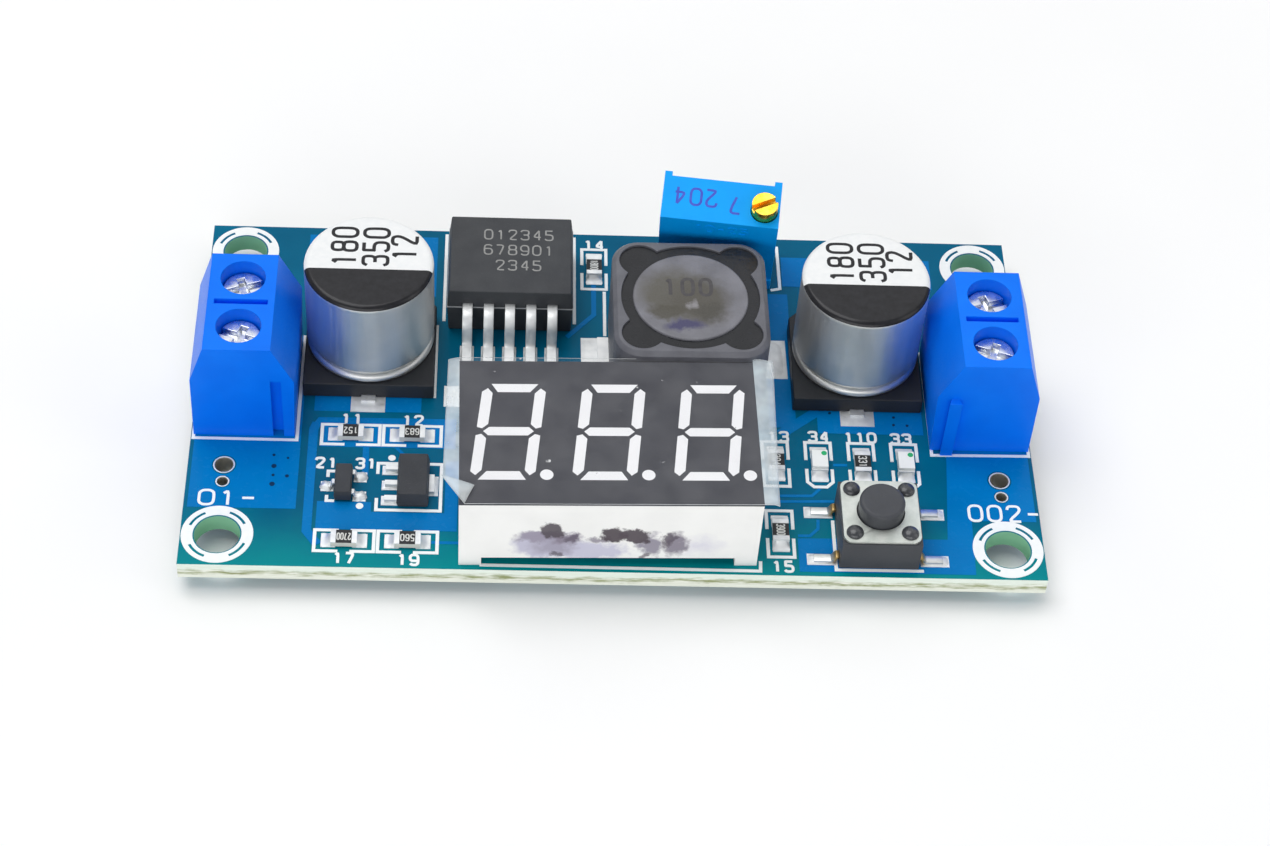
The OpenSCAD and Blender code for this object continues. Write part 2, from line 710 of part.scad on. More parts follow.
module terminal_housing(side) {
    half_l = pole_pitch;
    color("#0a62ee") at_terminal(side) difference() {
        union() {
            rotate([90, 0, 0]) linear_extrude(height = 2 * half_l, center = true)
                polygon([
                    [-terminal_d / 2 + back_foot_in, 0], [-terminal_d / 2, waist_h], [top_in, terminal_h],
                    [top_out, terminal_h], [terminal_d / 2 - 0.1, waist_h], [terminal_d / 2, 0]
                ]);
            translate([rib_x, -half_l, 0]) linear_extrude(height = waist_h - 0.2) joining_dovetail(0);
        }
        translate([rib_x, half_l, -cut]) linear_extrude(height = waist_h + cut) joining_dovetail(run);
        for (pole = [-1, 1]) translate([screw_x, pole * pole_pitch / 2, 0]) terminal_chamber();
        block([pole_pitch - 0.9, 0.5, cut], [screw_x, 0, terminal_h - 0.6]);
    }
}

// Space in the housing for one pole: screw well, clamp chamber, wire entry and contact slot
module terminal_chamber() {
    translate([0, 0, head_under - fit]) cylinder(d = well_d, h = terminal_h);
    translate([0, 0, chamber_top - cut]) cylinder(d = shank_d + 2 * run, h = terminal_h);
    block([chamber_l, chamber_w, chamber_top + cut], [0, 0, -cut]);
    translate([0, -wire_entry_w / 2, clamp_floor - 0.1])
        cube([terminal_d, wire_entry_w, contact_under - clamp_floor - wire_entry_w / 2 + 0.1]);
    translate([0, 0, contact_under - wire_entry_w / 2]) rotate([0, 90, 0])
        cylinder(d = wire_entry_w, h = terminal_d);
    mouth_w = wire_entry_w + 2 * wire_mouth_rim;
    mouth_h = contact_under - clamp_floor + wire_mouth_rim;
    block([2 * wire_mouth_depth, mouth_w, mouth_h], [terminal_d / 2 - screw_x, 0, clamp_floor - 0.1]);
    slot_end = contact_pin_x - contact_pin_t / 2 - screw_x - fit;
    translate([slot_end, -contact_w / 2 - fit, -cut])
        cube([-slot_end, contact_w + 2 * fit, contact_top + cut]);
}

module terminal_screw(side, pole) {
    color("#dfe2e6") at_pole(side, pole) difference() {
        union() {
            translate([0, 0, head_under]) cylinder(d = head_d, h = head_h);
            translate([0, 0, contact_top + fit]) cylinder(d = shank_d, h = head_under - contact_top);
        }
        rotate(20 * pole) {
            block([head_d + cut, slot_w, cut], [0, 0, head_top - slot_depth]);
            block([slot_w, 0.65 * head_d, cut], [0, 0, head_top - slot_depth]);
        }
    }
}

module terminal_clamp(side, pole) {
    color("#b9bcc2") at_pole(side, pole) difference() {
        block([clamp_l, clamp_w, clamp_top - clamp_low], [0, 0, clamp_low]);
        block([clamp_l + cut, clamp_w - 2 * clamp_wall, clamp_top - clamp_top_t - clamp_floor],
              [0, 0, clamp_floor]);
        translate([0, 0, clamp_top - clamp_top_t - cut]) cylinder(d = shank_d + 2 * run, h = 3 * cut);
    }
}

module terminal_contacts(side) {
    pin_face = contact_pin_x - contact_pin_t / 2;
    color("#c9a86a") for (pole = [-1, 1]) at_terminal(side) translate([0, pole * pole_pitch / 2, 0]) {
        translate([pin_face, -contact_w / 2, contact_under])
            cube([screw_x + clamp_l / 2 - pin_face, contact_w, contact_t]);
        block([contact_pin_t, contact_pin_w, board_top + contact_under], [contact_pin_x, 0, -board_top]);
    }
}

// Capacitors

// The can's outline: a rolled bead on the base, a neck above it and rounded edges
module capacitor_can(x, y) {
    can_h = cap_h - cap_base_t;
    r = can_d / 2;
    bead = can_bead_h / 2;
    body_z = can_bead_h + can_neck_h + bead;
    color("#9aa3a8") translate([x, y, seat_z + cap_base_t]) rotate_extrude($fn = 96) {
        square([r - bead, can_h - can_edge_r]);
        translate([r - bead, bead]) circle(bead);
        translate([r - bead, body_z]) circle(bead);
        translate([0, body_z]) square([r, can_h - can_edge_r - body_z]);
        square([r - can_edge_r, can_h]);
        translate([r - can_edge_r, can_h - can_edge_r]) circle(can_edge_r);
    }
}

module capacitor_base(x, y) {
    half = cap_base / 2;
    color("#1d1c1e") translate([x, y, seat_z]) difference() {
        linear_extrude(height = cap_base_t)
            polygon([
                [-half, -half], [half, -half], [half, half - cap_base_cut], [half - cap_base_cut, half],
                [-half + cap_base_cut, half], [-half, half - cap_base_cut]
            ]);
        for (side = [-1, 1]) capacitor_lead(side, cut);
    }
}

module capacitor_lead(side, extra) {
    inner = 1;
    reach = cap_base / 2 + cap_lead_out - inner;
    block([cap_lead_w, reach + extra, cap_lead_t + extra],
          [0, side * (inner + (reach + extra) / 2), -extra]);
}

module capacitor_terminals() {
    color("#d3d6da")
        for (cap = [[input_cap_x, input_cap_y], [output_cap_x, output_cap_y]], side = [-1, 1])
            translate([cap.x, cap.y, seat_z]) capacitor_lead(side, 0);
}

// Regulator

module regulator_slug() {
    inside = 6.5;
    block([reg_w - 1.6, reg_tab + inside, reg_tab_t], [0, reg_d / 2 + (reg_tab - inside) / 2, 0]);
}

// The flat ends of the leads inside the body
module regulator_roots() {
    root = 0.8;
    for (column = [-2:2])
        block([reg_lead_w, root, reg_lead_t], [column * reg_pitch, -reg_d / 2 + root / 2, reg_root_z]);
}

module regulator_body() {
    color("#2b2b2e") at_regulator() difference() {
        moulded_block(reg_w, reg_d, reg_h, reg_parting, reg_draft);
        regulator_slug();
        regulator_roots();
    }
}

module regulator_leadframe() {
    color("#d9dbde") at_regulator() {
        regulator_slug();
        regulator_roots();
        for (column = [-2:2]) translate([column * reg_pitch, -reg_d / 2, 0]) rotate(-90)
            round_lead(reg_lead_w, reg_reach, reg_root_z, reg_lead_t, reg_shoulder, reg_bend_r, reg_foot_r);
    }
}

// Inductor

module inductor_opening(h) {
    lobe_off = (ind_w - lobe_d) / 2 - lobe_wall;
    cylinder(d = ind_opening_d, h = h, $fn = 96);
    for (sx = [-1, 1], sy = [-1, 1])
        translate([sx * lobe_off, sy * lobe_off, 0]) cylinder(d = lobe_d, h = h);
    for (turn = [45, 135]) rotate(turn) block([2 * sqrt(2) * lobe_off, lobe_d, h]);
}

module inductor_shield() {
    soft = 0.35;
    color("#4a474d") at_inductor() difference() {
        hull() for (sx = [-1, 1], sy = [-1, 1])
            translate([sx * (ind_w / 2 - ind_corner_r), sy * (ind_w / 2 - ind_corner_r), ind_plate_t]) {
                cylinder(r = ind_corner_r, h = ind_h - ind_plate_t - soft, $fn = 32);
                cylinder(r = ind_corner_r - soft, h = ind_h - ind_plate_t, $fn = 32);
            }
        translate([0, 0, ind_plate_t - cut]) inductor_opening(ind_h + 2 * cut);
    }
}

module inductor_drum_core() {
    color("#6c6a6c") at_inductor() {
        translate([0, 0, ind_h - drum_disc_t]) cylinder(d = drum_d, h = drum_disc_t, $fn = 96);
        translate([0, 0, ind_plate_t]) cylinder(d = drum_stem_d, h = ind_h - ind_plate_t - 0.1);
        translate([0, 0, ind_plate_t]) cylinder(d = drum_d, h = drum_disc_t);
    }
}

module inductor_winding() {
    low = ind_plate_t + drum_disc_t;
    color("#b06a35") at_inductor() translate([0, 0, low]) difference() {
        cylinder(d = drum_d - 0.3, h = ind_h - drum_disc_t - low);
        translate([0, 0, -cut]) cylinder(d = drum_stem_d, h = ind_h);
    }
}

module inductor_adhesive() {
    fill_t = 0.9;
    color("#232126") at_inductor() translate([0, 0, ind_h - 0.2 - fill_t]) difference() {
        inductor_opening(fill_t);
        translate([0, 0, -cut]) cylinder(d = drum_d, h = fill_t + 2 * cut, $fn = 96);
    }
}

module inductor_terminals() {
    color("#d5d7da") at_inductor() for (side = [-1, 1])
        block([ind_plate_l, ind_plate_w, ind_plate_t],
              [side * (ind_w / 2 + ind_plate_out - ind_plate_l / 2), ind_plate_y, 0]);
}

// Trimmer

module trimmer_housing() {
    inner_d = element_y - trim_wall - trim_band_step;
    color("#1a9fe8") at_trimmer() difference() {
        union() {
            translate([-trim_w / 2, trim_band_step, trim_foot_h])
                cube([trim_w, trim_back - trim_band_step, trim_h - trim_foot_h]);
            translate([-trim_w / 2, 0, trim_h - trim_band_h]) cube([trim_w, trim_back, trim_band_h]);
            for (sx = [-1, 1]) translate([sx * (trim_w / 2 - trim_wall / 2), 0, 0]) {
                translate([-trim_wall / 2, trim_back - cut, trim_foot_h])
                    cube([trim_wall, trim_d - trim_back + cut, trim_h - trim_foot_h]);
                translate([-trim_wall / 2, 0, 0]) cube([trim_wall, 1.2, trim_foot_h + cut]);
            }
        }
        translate([-trim_cavity_x, trim_wall + trim_band_step, trim_foot_h + trim_wall])
            cube([2 * trim_cavity_x, inner_d + cut, trim_cavity_top - trim_foot_h - trim_wall]);
        translate([-trim_cavity_x, element_y, -cut]) cube([2 * trim_cavity_x, trim_d, trim_cavity_top + cut]);
        translate([trim_screw_x, trim_screw_in_y, trim_cavity_top - cut])
            cylinder(d = trim_screw_d + run, h = trim_h);
        translate([wheel_x, trim_band_step + trim_wall + cut, wheel_z]) rotate([90, 0, 0])
            cylinder(d = wheel_axle_d + run, h = cut + 0.45);
    }
}

module trimmer_screw() {
    color("#d9a520") at_trimmer() translate([trim_screw_x, trim_screw_in_y, 0]) difference() {
        union() {
            translate([0, 0, trim_cavity_top])
                cylinder(d = trim_screw_d, h = trim_h + trim_screw_up - trim_cavity_top);
            translate([0, 0, trim_foot_h + trim_wall + run])
                cylinder(d = worm_d, h = trim_cavity_top - trim_foot_h - trim_wall);
        }
        rotate(28) block([trim_screw_d + cut, 0.45, cut], [0, 0, trim_h + trim_screw_up - 0.55]);
    }
}

module trimmer_worm_wheel() {
    axle_root = trim_band_step + trim_wall - 0.35;
    color("#e7e2d4") at_trimmer() translate([wheel_x, 0, wheel_z]) rotate([-90, 0, 0]) {
        translate([0, 0, trim_screw_in_y - wheel_t / 2]) cylinder(d = wheel_d, h = wheel_t);
        translate([0, 0, axle_root]) cylinder(d = wheel_axle_d, h = element_y - run - axle_root);
    }
}

module trimmer_element() {
    color("#e9e6dc") at_trimmer()
        translate([-trim_cavity_x, element_y, trim_foot_h])
            cube([2 * trim_cavity_x, element_t, trim_cavity_top - trim_foot_h]);
}

module trimmer_pins() {
    color("#cfd2d6") {
        at_trimmer() for (column = [-1:1])
            translate([column * trim_pin_pitch, element_y + element_t / 2, trim_foot_h - trim_stub])
                cylinder(d = trim_pin_d, h = trim_stub);
        at_trimmer_pins() {
            cylinder(d = trim_pin_d, h = board_top + trim_stub_z);
            translate([0, 0, board_top + trim_stub_z]) sphere(d = trim_pin_d + 0.1);
        }
    }
}

// Display

function slanted(p) = [p.x + p.y * tan(digit_slant), p.y];

// A bar between two corners of a digit, with mitred or pointed ends
module bar(points) {
    polygon([for (p = points) slanted(p)]);
}

module digit_bars() {
    x = digit_w / 2;
    y = digit_h / 2;
    w = bar_w;
    g = bar_gap * 0.7;
    m = w / 2;
    tip = x - 0.43 - g;
    inner = x - 1.2 * w - g;
    for (s = [-1, 1]) {
        bar([[-tip, s * y], [tip, s * y], [inner, s * (y - w)], [-inner, s * (y - w)]]);
        for (t = [-1, 1])
            bar([
                [t * x, s * (y - 0.58 - g)], [t * (x - m), s * (y - 0.22 - g)],
                [t * (x - w), s * (y - w + 0.1 - g)],
                [t * (x - w), s * (m + g + 0.08)], [t * (x - m), s * (g + 0.06)], [t * x, s * (g + 0.2)]
            ]);
    }
    bar([
        [-x + m + g / 2, 0], [-x + w + g / 2, m], [x - w - g / 2, m],
        [x - m - g / 2, 0], [x - w - g / 2, -m], [-x + w + g / 2, -m]
    ]);
}

module all_segments(h) {
    linear_extrude(height = h) for (digit = [-1:1]) translate([digit * digit_pitch - digit_shift, 0]) {
        digit_bars();
        translate([digit_w / 2 + dot_out, -digit_h / 2 + dot_d / 2]) circle(d = dot_d);
    }
}

module display_case() {
    color("#f2f1ec") at_display() difference() {
        block([disp_w, disp_d, disp_h - disp_face_t]);
        block([disp_w - 2 * disp_wall, disp_d - 2 * disp_wall, disp_cavity_top + cut], [0, 0, -cut]);
        block([disp_w - 2 * disp_foot_w, disp_d + cut, disp_foot_h + cut], [0, 0, -cut]);
        translate([0, 0, disp_cavity_top - cut]) all_segments(disp_front_t + 2 * cut);
    }
}

module display_face() {
    color("#4b4b52") at_display() difference() {
        block([disp_w, disp_d, disp_face_t], [0, 0, disp_h - disp_face_t]);
        translate([0, 0, disp_h - cut]) all_segments(2 * cut);
    }
}

module display_segments() {
    color("#f4f4f6") at_display() translate([0, 0, disp_cavity_top]) all_segments(disp_front_t + disp_face_t);
}

module display_board() {
    color("#c9b98a") at_display()
        block([disp_w - 2 * disp_wall, disp_d - 2 * disp_wall, disp_board_t], [0, 0, disp_board_z]);
}

module display_pins() {
    color("#cfd2d6") at_display_pins() block([disp_pin_t, disp_pin_w, board_top + disp_board_z]);
}

module display_film() {
    left = -disp_w / 2 - film_over;
    right = disp_w / 2 + film_over;
    front = -disp_d / 2;
    back = disp_d / 2 + 0.1;
    fold_a = [left, front + fold_back];
    fold_b = [left + fold_side, front];
    along = (fold_b - fold_a) / norm(fold_b - fold_a);
    corner = [left, front] - fold_a;
    tip = fold_a + 2 * (corner * along) * along - corner;
    color("#dfeef0", 0.5) at_display() translate([0, 0, disp_h]) {
        linear_extrude(height = film_t) polygon([fold_a, fold_b, [right, front], [right, back], [left, back]]);
        linear_extrude(height = 2 * film_t) polygon([fold_a, fold_b, tip]);
    }
}

// Push switch

module at_rivets() {
    for (sx = [-1, 1], sy = [-1, 1]) translate([sx * rivet_off, sy * rivet_off, 0]) children();
}

module switch_base() {
    color("#2a282b") at_switch() {
        difference() {
            block([sw_w, sw_w, sw_base_h]);
            translate([0, 0, sw_floor]) cylinder(d = sw_well_d, h = sw_base_h);
        }
        at_rivets() translate([0, 0, sw_base_h]) {
            cylinder(d = rivet_d - 0.25, h = sw_plate_t);
            translate([0, 0, sw_plate_t]) cylinder(d1 = rivet_d, d2 = rivet_d - 0.4, h = 0.32);
        }
    }
}

module switch_cover() {
    color("#c9cfca") at_switch() translate([0, 0, sw_base_h]) difference() {
        rounded_block([sw_plate_w, sw_plate_w, sw_plate_t], sw_plate_r);
        translate([0, 0, -cut]) cylinder(d = button_d + 2 * run, h = 3 * cut);
        at_rivets() translate([0, 0, -cut]) cylinder(d = rivet_d - 0.25, h = 3 * cut);
    }
}

module switch_button() {
    r = button_d / 2;
    edge = 0.3;
    flange_top = sw_base_h - fit;
    color("#232226") at_switch() {
        translate([0, 0, flange_top - button_flange_t]) cylinder(d = button_flange_d, h = button_flange_t);
        translate([0, 0, flange_top]) rotate_extrude() {
            square([r, sw_plate_t + fit + button_up - edge]);
            square([r - edge, sw_plate_t + fit + button_up]);
            translate([r - edge, sw_plate_t + fit + button_up - edge]) circle(edge);
        }
        translate([0, 0, sw_floor + dome_rise + dome_t + button_travel + fit])
            cylinder(d = 1.6, h = flange_top - sw_floor - dome_rise - dome_t - button_travel - fit);
    }
}

// A shallow spring dome: a ring of a thin sphere
module switch_dome() {
    reach = dome_d / 2;
    r = (reach * reach + dome_rise * dome_rise) / (2 * dome_rise);
    color("#d0d3d6") at_switch() translate([0, 0, sw_floor]) intersection() {
        translate([0, 0, dome_rise + dome_t - r - dome_t]) difference() {
            sphere(r = r + dome_t, $fn = 96);
            sphere(r = r, $fn = 96);
        }
        cylinder(r = reach, h = 2 * dome_rise + dome_t);
    }
}

module switch_terminals() {
    color("#d6d2bd") at_switch() for (sx = [-1, 1], sy = [-1, 1])
        translate([sx * sw_w / 2, sy * sw_leg_pitch / 2, 0]) rotate(sx > 0 ? 0 : 180)
            bent_lead(sw_leg_w, sw_leg_reach, 0.5, 0.25, 0.1, 0.35);
}

// Chips

module chip_core(chip) {
    block([chip_l - 2 * end_cap_t, chip_w, chip_t - 2 * end_cap_t], [0, 0, end_cap_t]);
}

module chip_resistor(index) {
    color("#1b1a1b") at_chip(RESISTORS[index]) chip_core();
}

module chip_led(index) {
    color("#f3f5f1") at_chip(LEDS[index]) {
        chip_core();
        block([chip_l - 2 * end_cap_l, chip_w, led_h - end_cap_t], [0, 0, end_cap_t]);
        block([chip_l - 6 * end_cap_t, chip_w, led_h - chip_t], [0, 0, chip_t]);
    }
}

module chip_end_caps() {
    color("#dcdee1") for (chip = CHIPS) at_chip(chip) difference() {
        block([chip_l, chip_w, chip_t]);
        block([chip_l - 2 * end_cap_l, chip_w + cut, chip_t + 2 * cut], [0, 0, -cut]);
        block([chip_l - 2 * end_cap_t, chip_w + cut, chip_t - 2 * end_cap_t], [0, 0, end_cap_t]);
    }
}

// Three lead chip: one lead on the left and two on the right
LEAD_CHIP_LEADS = [[-1, 0], [1, -lead_chip_pitch / 2], [1, lead_chip_pitch / 2]];

module three_lead_chip() {
    color("#222124") translate([lead_chip_x, lead_chip_y, seat_z + 0.08])
        moulded_block(lead_chip_w, lead_chip_l, lead_chip_h, lead_chip_h / 2, 0.08);
}

// Supply transistor: three leads on the left and a tab on the right

module supply_transistor() {
    color("#1e1d20") translate([transistor_x, transistor_y, seat_z])
        moulded_block(transistor_w, transistor_l, transistor_h, 0.5, 0.14);
}

// Meter chip under the display

module meter_chip() {
    color("#1e1d20") translate([display_x, display_y, seat_z + 0.1]) rotate(display_yaw)
        moulded_block(meter_w, meter_d, meter_h, meter_h / 2, 0.08);
}

// Rectifier diode behind the display, beside the inductor

module rectifier_diode() {
    color("#1e1d20") translate([diode_x, diode_y, seat_z + 0.1])
        moulded_block(diode_l, diode_w, diode_h, diode_h / 2, 0.1);
}

module small_package_leads() {
    color("#d6d9dc") {
        translate([lead_chip_x, lead_chip_y, seat_z]) for (lead = LEAD_CHIP_LEADS)
            translate([lead.x * lead_chip_w / 2, lead.y, 0]) rotate(lead.x > 0 ? 0 : 180)
                bent_lead(0.42, 0.6, lead_chip_h / 2, 0.13, 0.1, 0.25);
        translate([transistor_x, transistor_y, seat_z]) {
            for (row = [-1:1])
                block([transistor_reach, 0.46, 0.4],
                      [-(transistor_w + transistor_reach) / 2, transistor_pitch * row, 0]);
            block([0.4, transistor_tab_w, 0.4], [transistor_w / 2 + 0.2, 0, 0]);
        }
        translate([display_x, display_y, seat_z]) rotate(display_yaw)
            for (column = [-4.5:4.5], row = [-1, 1])
                translate([column * meter_pitch, row * meter_d / 2, 0]) rotate(90 * row)
                    bent_lead(0.22, 1, 0.5, 0.12, 0.15, 0.35);
        translate([diode_x, diode_y, seat_z]) for (side = [-1, 1])
            translate([side * diode_l / 2, 0, 0]) rotate(side > 0 ? 0 : 180)
                bent_lead(1.4, 0.5, 0.9, 0.2, 0.05, 0.2);
    }
}

circuit_board();
solder_pads();
solder_joints();
terminal_housing(-1);  // input_terminal_housing
terminal_screw(-1, -1);  // input_screw_front
terminal_screw(-1, 1);  // input_screw_back
terminal_clamp(-1, -1);  // input_clamp_front
terminal_clamp(-1, 1);  // input_clamp_back
terminal_contacts(-1);  // input_contacts
terminal_housing(1);  // output_terminal_housing
terminal_screw(1, -1);  // output_screw_front
terminal_screw(1, 1);  // output_screw_back
terminal_clamp(1, -1);  // output_clamp_front
terminal_clamp(1, 1);  // output_clamp_back
terminal_contacts(1);  // output_contacts
capacitor_can(input_cap_x, input_cap_y);  // input_capacitor_can
capacitor_base(input_cap_x, input_cap_y);  // input_capacitor_base
capacitor_can(output_cap_x, output_cap_y);  // output_capacitor_can
capacitor_base(output_cap_x, output_cap_y);  // output_capacitor_base
capacitor_terminals();
regulator_body();
regulator_leadframe();
inductor_shield();
inductor_drum_core();
inductor_winding();
inductor_adhesive();
inductor_terminals();
trimmer_housing();
trimmer_screw();
trimmer_worm_wheel();
trimmer_element();
trimmer_pins();
display_case();
display_face();
display_segments();
display_board();
display_pins();
display_film();
switch_base();
switch_cover();
switch_button();
switch_dome();
switch_terminals();
chip_resistor(0);  // resistor_1
chip_resistor(1);  // resistor_2
chip_resistor(2);  // resistor_3
chip_resistor(3);  // resistor_4
chip_resistor(4);  // resistor_5
chip_resistor(5);  // resistor_7
chip_resistor(6);  // resistor_9
chip_resistor(7);  // resistor_10
chip_end_caps();
chip_led(0);  // input_led
chip_led(1);  // output_led
three_lead_chip();
supply_transistor();
meter_chip();
rectifier_diode();
small_package_leads();
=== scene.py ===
"""Looks of the boost converter module: finishes of its solids, printed ink, solder, film and light."""

import json
import math

import bmesh
import bpy
from mathutils import Matrix, Vector, noise


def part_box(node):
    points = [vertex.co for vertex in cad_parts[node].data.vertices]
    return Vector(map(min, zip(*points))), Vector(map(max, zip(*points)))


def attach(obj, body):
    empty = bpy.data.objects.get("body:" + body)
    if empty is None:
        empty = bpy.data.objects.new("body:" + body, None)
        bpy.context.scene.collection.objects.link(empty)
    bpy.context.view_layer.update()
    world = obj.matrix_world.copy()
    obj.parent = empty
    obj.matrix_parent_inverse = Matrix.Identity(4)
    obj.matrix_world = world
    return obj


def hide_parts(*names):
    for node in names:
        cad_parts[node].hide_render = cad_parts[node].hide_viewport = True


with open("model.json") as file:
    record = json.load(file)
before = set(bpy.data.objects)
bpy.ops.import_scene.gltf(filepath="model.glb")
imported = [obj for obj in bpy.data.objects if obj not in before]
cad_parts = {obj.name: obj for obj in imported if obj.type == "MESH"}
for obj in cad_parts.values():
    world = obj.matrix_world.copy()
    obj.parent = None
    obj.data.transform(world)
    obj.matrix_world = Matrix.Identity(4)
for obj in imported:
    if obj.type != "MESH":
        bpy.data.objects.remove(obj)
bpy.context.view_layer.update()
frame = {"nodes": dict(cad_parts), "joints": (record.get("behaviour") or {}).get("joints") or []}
nodes = frame["nodes"]

# Sizes are in millimetres, and the frame is in metres
MM = 0.001
PER_MM = 1000.0

# Sides that printed or soldered pieces start from, read from the frame
BOARD_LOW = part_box("circuit_board")[0] / MM
BOARD_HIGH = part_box("circuit_board")[1] / MM
BOARD_TOP = BOARD_HIGH.z
PAD_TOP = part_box("solder_pads")[1].z / MM
DISPLAY_YAW = 1.2
INDUCTOR_YAW = 0.7

# Thicknesses of the layers on the board
COPPER_RISE = 0.02
TRACK_RISE = 0.028
INK_RISE = 0.036
FIGURE_RISE = 0.044

ENDS = ("input", "output")
CORNERS = [(sx, sy) for sx in (-1, 1) for sy in (-1, 1)]
RESISTORS = [name for name in nodes if name.startswith("resistor_")]


def both(name):
    """A solid of the input end and the same one of the output end."""
    return [f"{end}_{name}" for end in ENDS]


def centre_of(node):
    low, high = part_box(node)
    return (low + high) / (2 * MM)


def top_of(node):
    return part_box(node)[1].z / MM


# Materials

NOISE, RANGE, MIX = "ShaderNodeTexNoise", "ShaderNodeMapRange", "ShaderNodeMix"
MATH, VECTOR, BUMP = "ShaderNodeMath", "ShaderNodeVectorMath", "ShaderNodeBump"


def linear(hex_colour):
    """An sRGB hex value as linear colour with full cover."""
    channels = [int(hex_colour[i : i + 2], 16) / 255 for i in (1, 3, 5)]
    return [c / 12.92 if c <= 0.04045 else ((c + 0.055) / 1.055) ** 2.4 for c in channels] + [1.0]


def output(source):
    """A socket as it is, or the first output that a node has in use."""
    if isinstance(source, bpy.types.NodeSocket):
        return source
    return next(socket for socket in source.outputs if socket.enabled)


def add(look, kind, values=None, links=None, **settings):
    """Adds one node with its settings, its fixed inputs and the nodes or outputs that feed it."""
    node = look.tree.nodes.new(kind)
    for name, value in settings.items():
        setattr(node, name, value)
    for socket, value in (values or {}).items():
        node.inputs[socket].default_value = value
    for socket, source in (links or {}).items():
        look.tree.links.new(output(source), node.inputs[socket])
    return node


def feed(look, socket, source):
    """Feeds one input of the shader."""
    look.tree.links.new(output(source), look.shader.inputs[socket])


class Look:
    """A new material: its nodes, its shader with fixed values, and the place in the object's own frame."""

    def __init__(self, name, sockets):
        self.material = bpy.data.materials.new(name)
        self.material.use_nodes = True
        self.tree = self.material.node_tree
        self.shader = self.tree.nodes["Principled BSDF"]
        for socket, value in sockets.items():
            self.shader.inputs[socket].default_value = value
        self.place = add(self, "ShaderNodeTexCoord").outputs["Object"]


def clouded(look, first, second, patch, spread=0.15):
    """Colour that drifts between two hex values over patches of that size."""
    cloud = add(look, NOISE, {"Scale": PER_MM / patch, "Detail": 4.0}, {"Vector": look.place})
    share = add(look, RANGE, {"From Min": 0.5 - spread, "From Max": 0.5 + spread}, {"Value": cloud})
    blend = add(look, MIX, {6: linear(first), 7: linear(second)}, {0: share}, data_type="RGBA")
    feed(look, "Base Color", blend)
    return blend


def relief(look, pattern, depth, rough=None):
    """Raises the surface by a pattern, which can also stir the roughness between two values."""
    raised = add(look, BUMP, {"Strength": 1.0, "Distance": depth * MM}, {"Height": pattern})
    feed(look, "Normal", raised)
    if rough:
        limits = {"From Min": 0.3, "From Max": 0.7, "To Min": rough[0], "To Max": rough[1]}
        feed(look, "Roughness", add(look, RANGE, limits, {"Value": pattern}))


def grained(look, grain, depth, rough=None, detail=2.0):
    """A surface relief of that grain size and depth."""
    grit = add(look, NOISE, {"Scale": PER_MM / grain, "Detail": detail}, {"Vector": look.place})
    relief(look, grit, depth, rough)
    return grit


def stretched(look, level, upright, detail):
    """A pattern with one length in level directions and another one upright."""
    scale = (PER_MM / level, PER_MM / level, PER_MM / upright)
    place = add(look, "ShaderNodeMapping", {"Scale": scale}, {"Vector": look.place})
    return add(look, NOISE, {"Scale": 1.0, "Detail": detail}, {"Vector": place})


def torn_place(look, grain, reach):
    """The place shifted by a ragged pattern of that grain, so that a stain drawn on it has torn edges."""
    ragged = {"Scale": PER_MM / grain, "Detail": 6.0, "Roughness": 0.6}
    swirl = add(look, NOISE, ragged, {"Vector": look.place}).outputs["Color"]
    shift = add(look, VECTOR, {1: (0.5, 0.5, 0.5)}, {0: swirl}, operation="SUBTRACT")
    sized = add(look, VECTOR, {1: [side * MM for side in reach]}, {0: shift}, operation="MULTIPLY")
    return add(look, VECTOR, None, {0: look.place, 1: sized}, operation="ADD")


def stained(look, base, place, colour, middle, half, soft, strength):
    """Lays an oval stain of one hex colour over the finish, thin at its rim. A half size of 0 has no end."""
    offset = add(look, VECTOR, {1: Vector(middle) * MM}, {0: place}, operation="SUBTRACT")
    sizes = [1 / (side * MM) if side else 0.0 for side in half]
    scaled = add(look, VECTOR, {1: sizes}, {0: offset}, operation="MULTIPLY")
    reach = add(look, VECTOR, None, {0: scaled}, operation="LENGTH")
    limits = {"From Min": 1.0, "From Max": 1.0 - soft, "To Max": strength}
    cover = add(look, RANGE, limits, {"Value": reach})
    blend = add(look, MIX, {7: linear(colour)}, {0: cover, 6: base}, data_type="RGBA")
    feed(look, "Base Color", blend)
    return blend


def facing(look):
    """Which way each face looks, along the three axes."""
    normal = add(look, "ShaderNodeNewGeometry").outputs["True Normal"]
    return add(look, "ShaderNodeSeparateXYZ", None, {"Vector": normal}).outputs


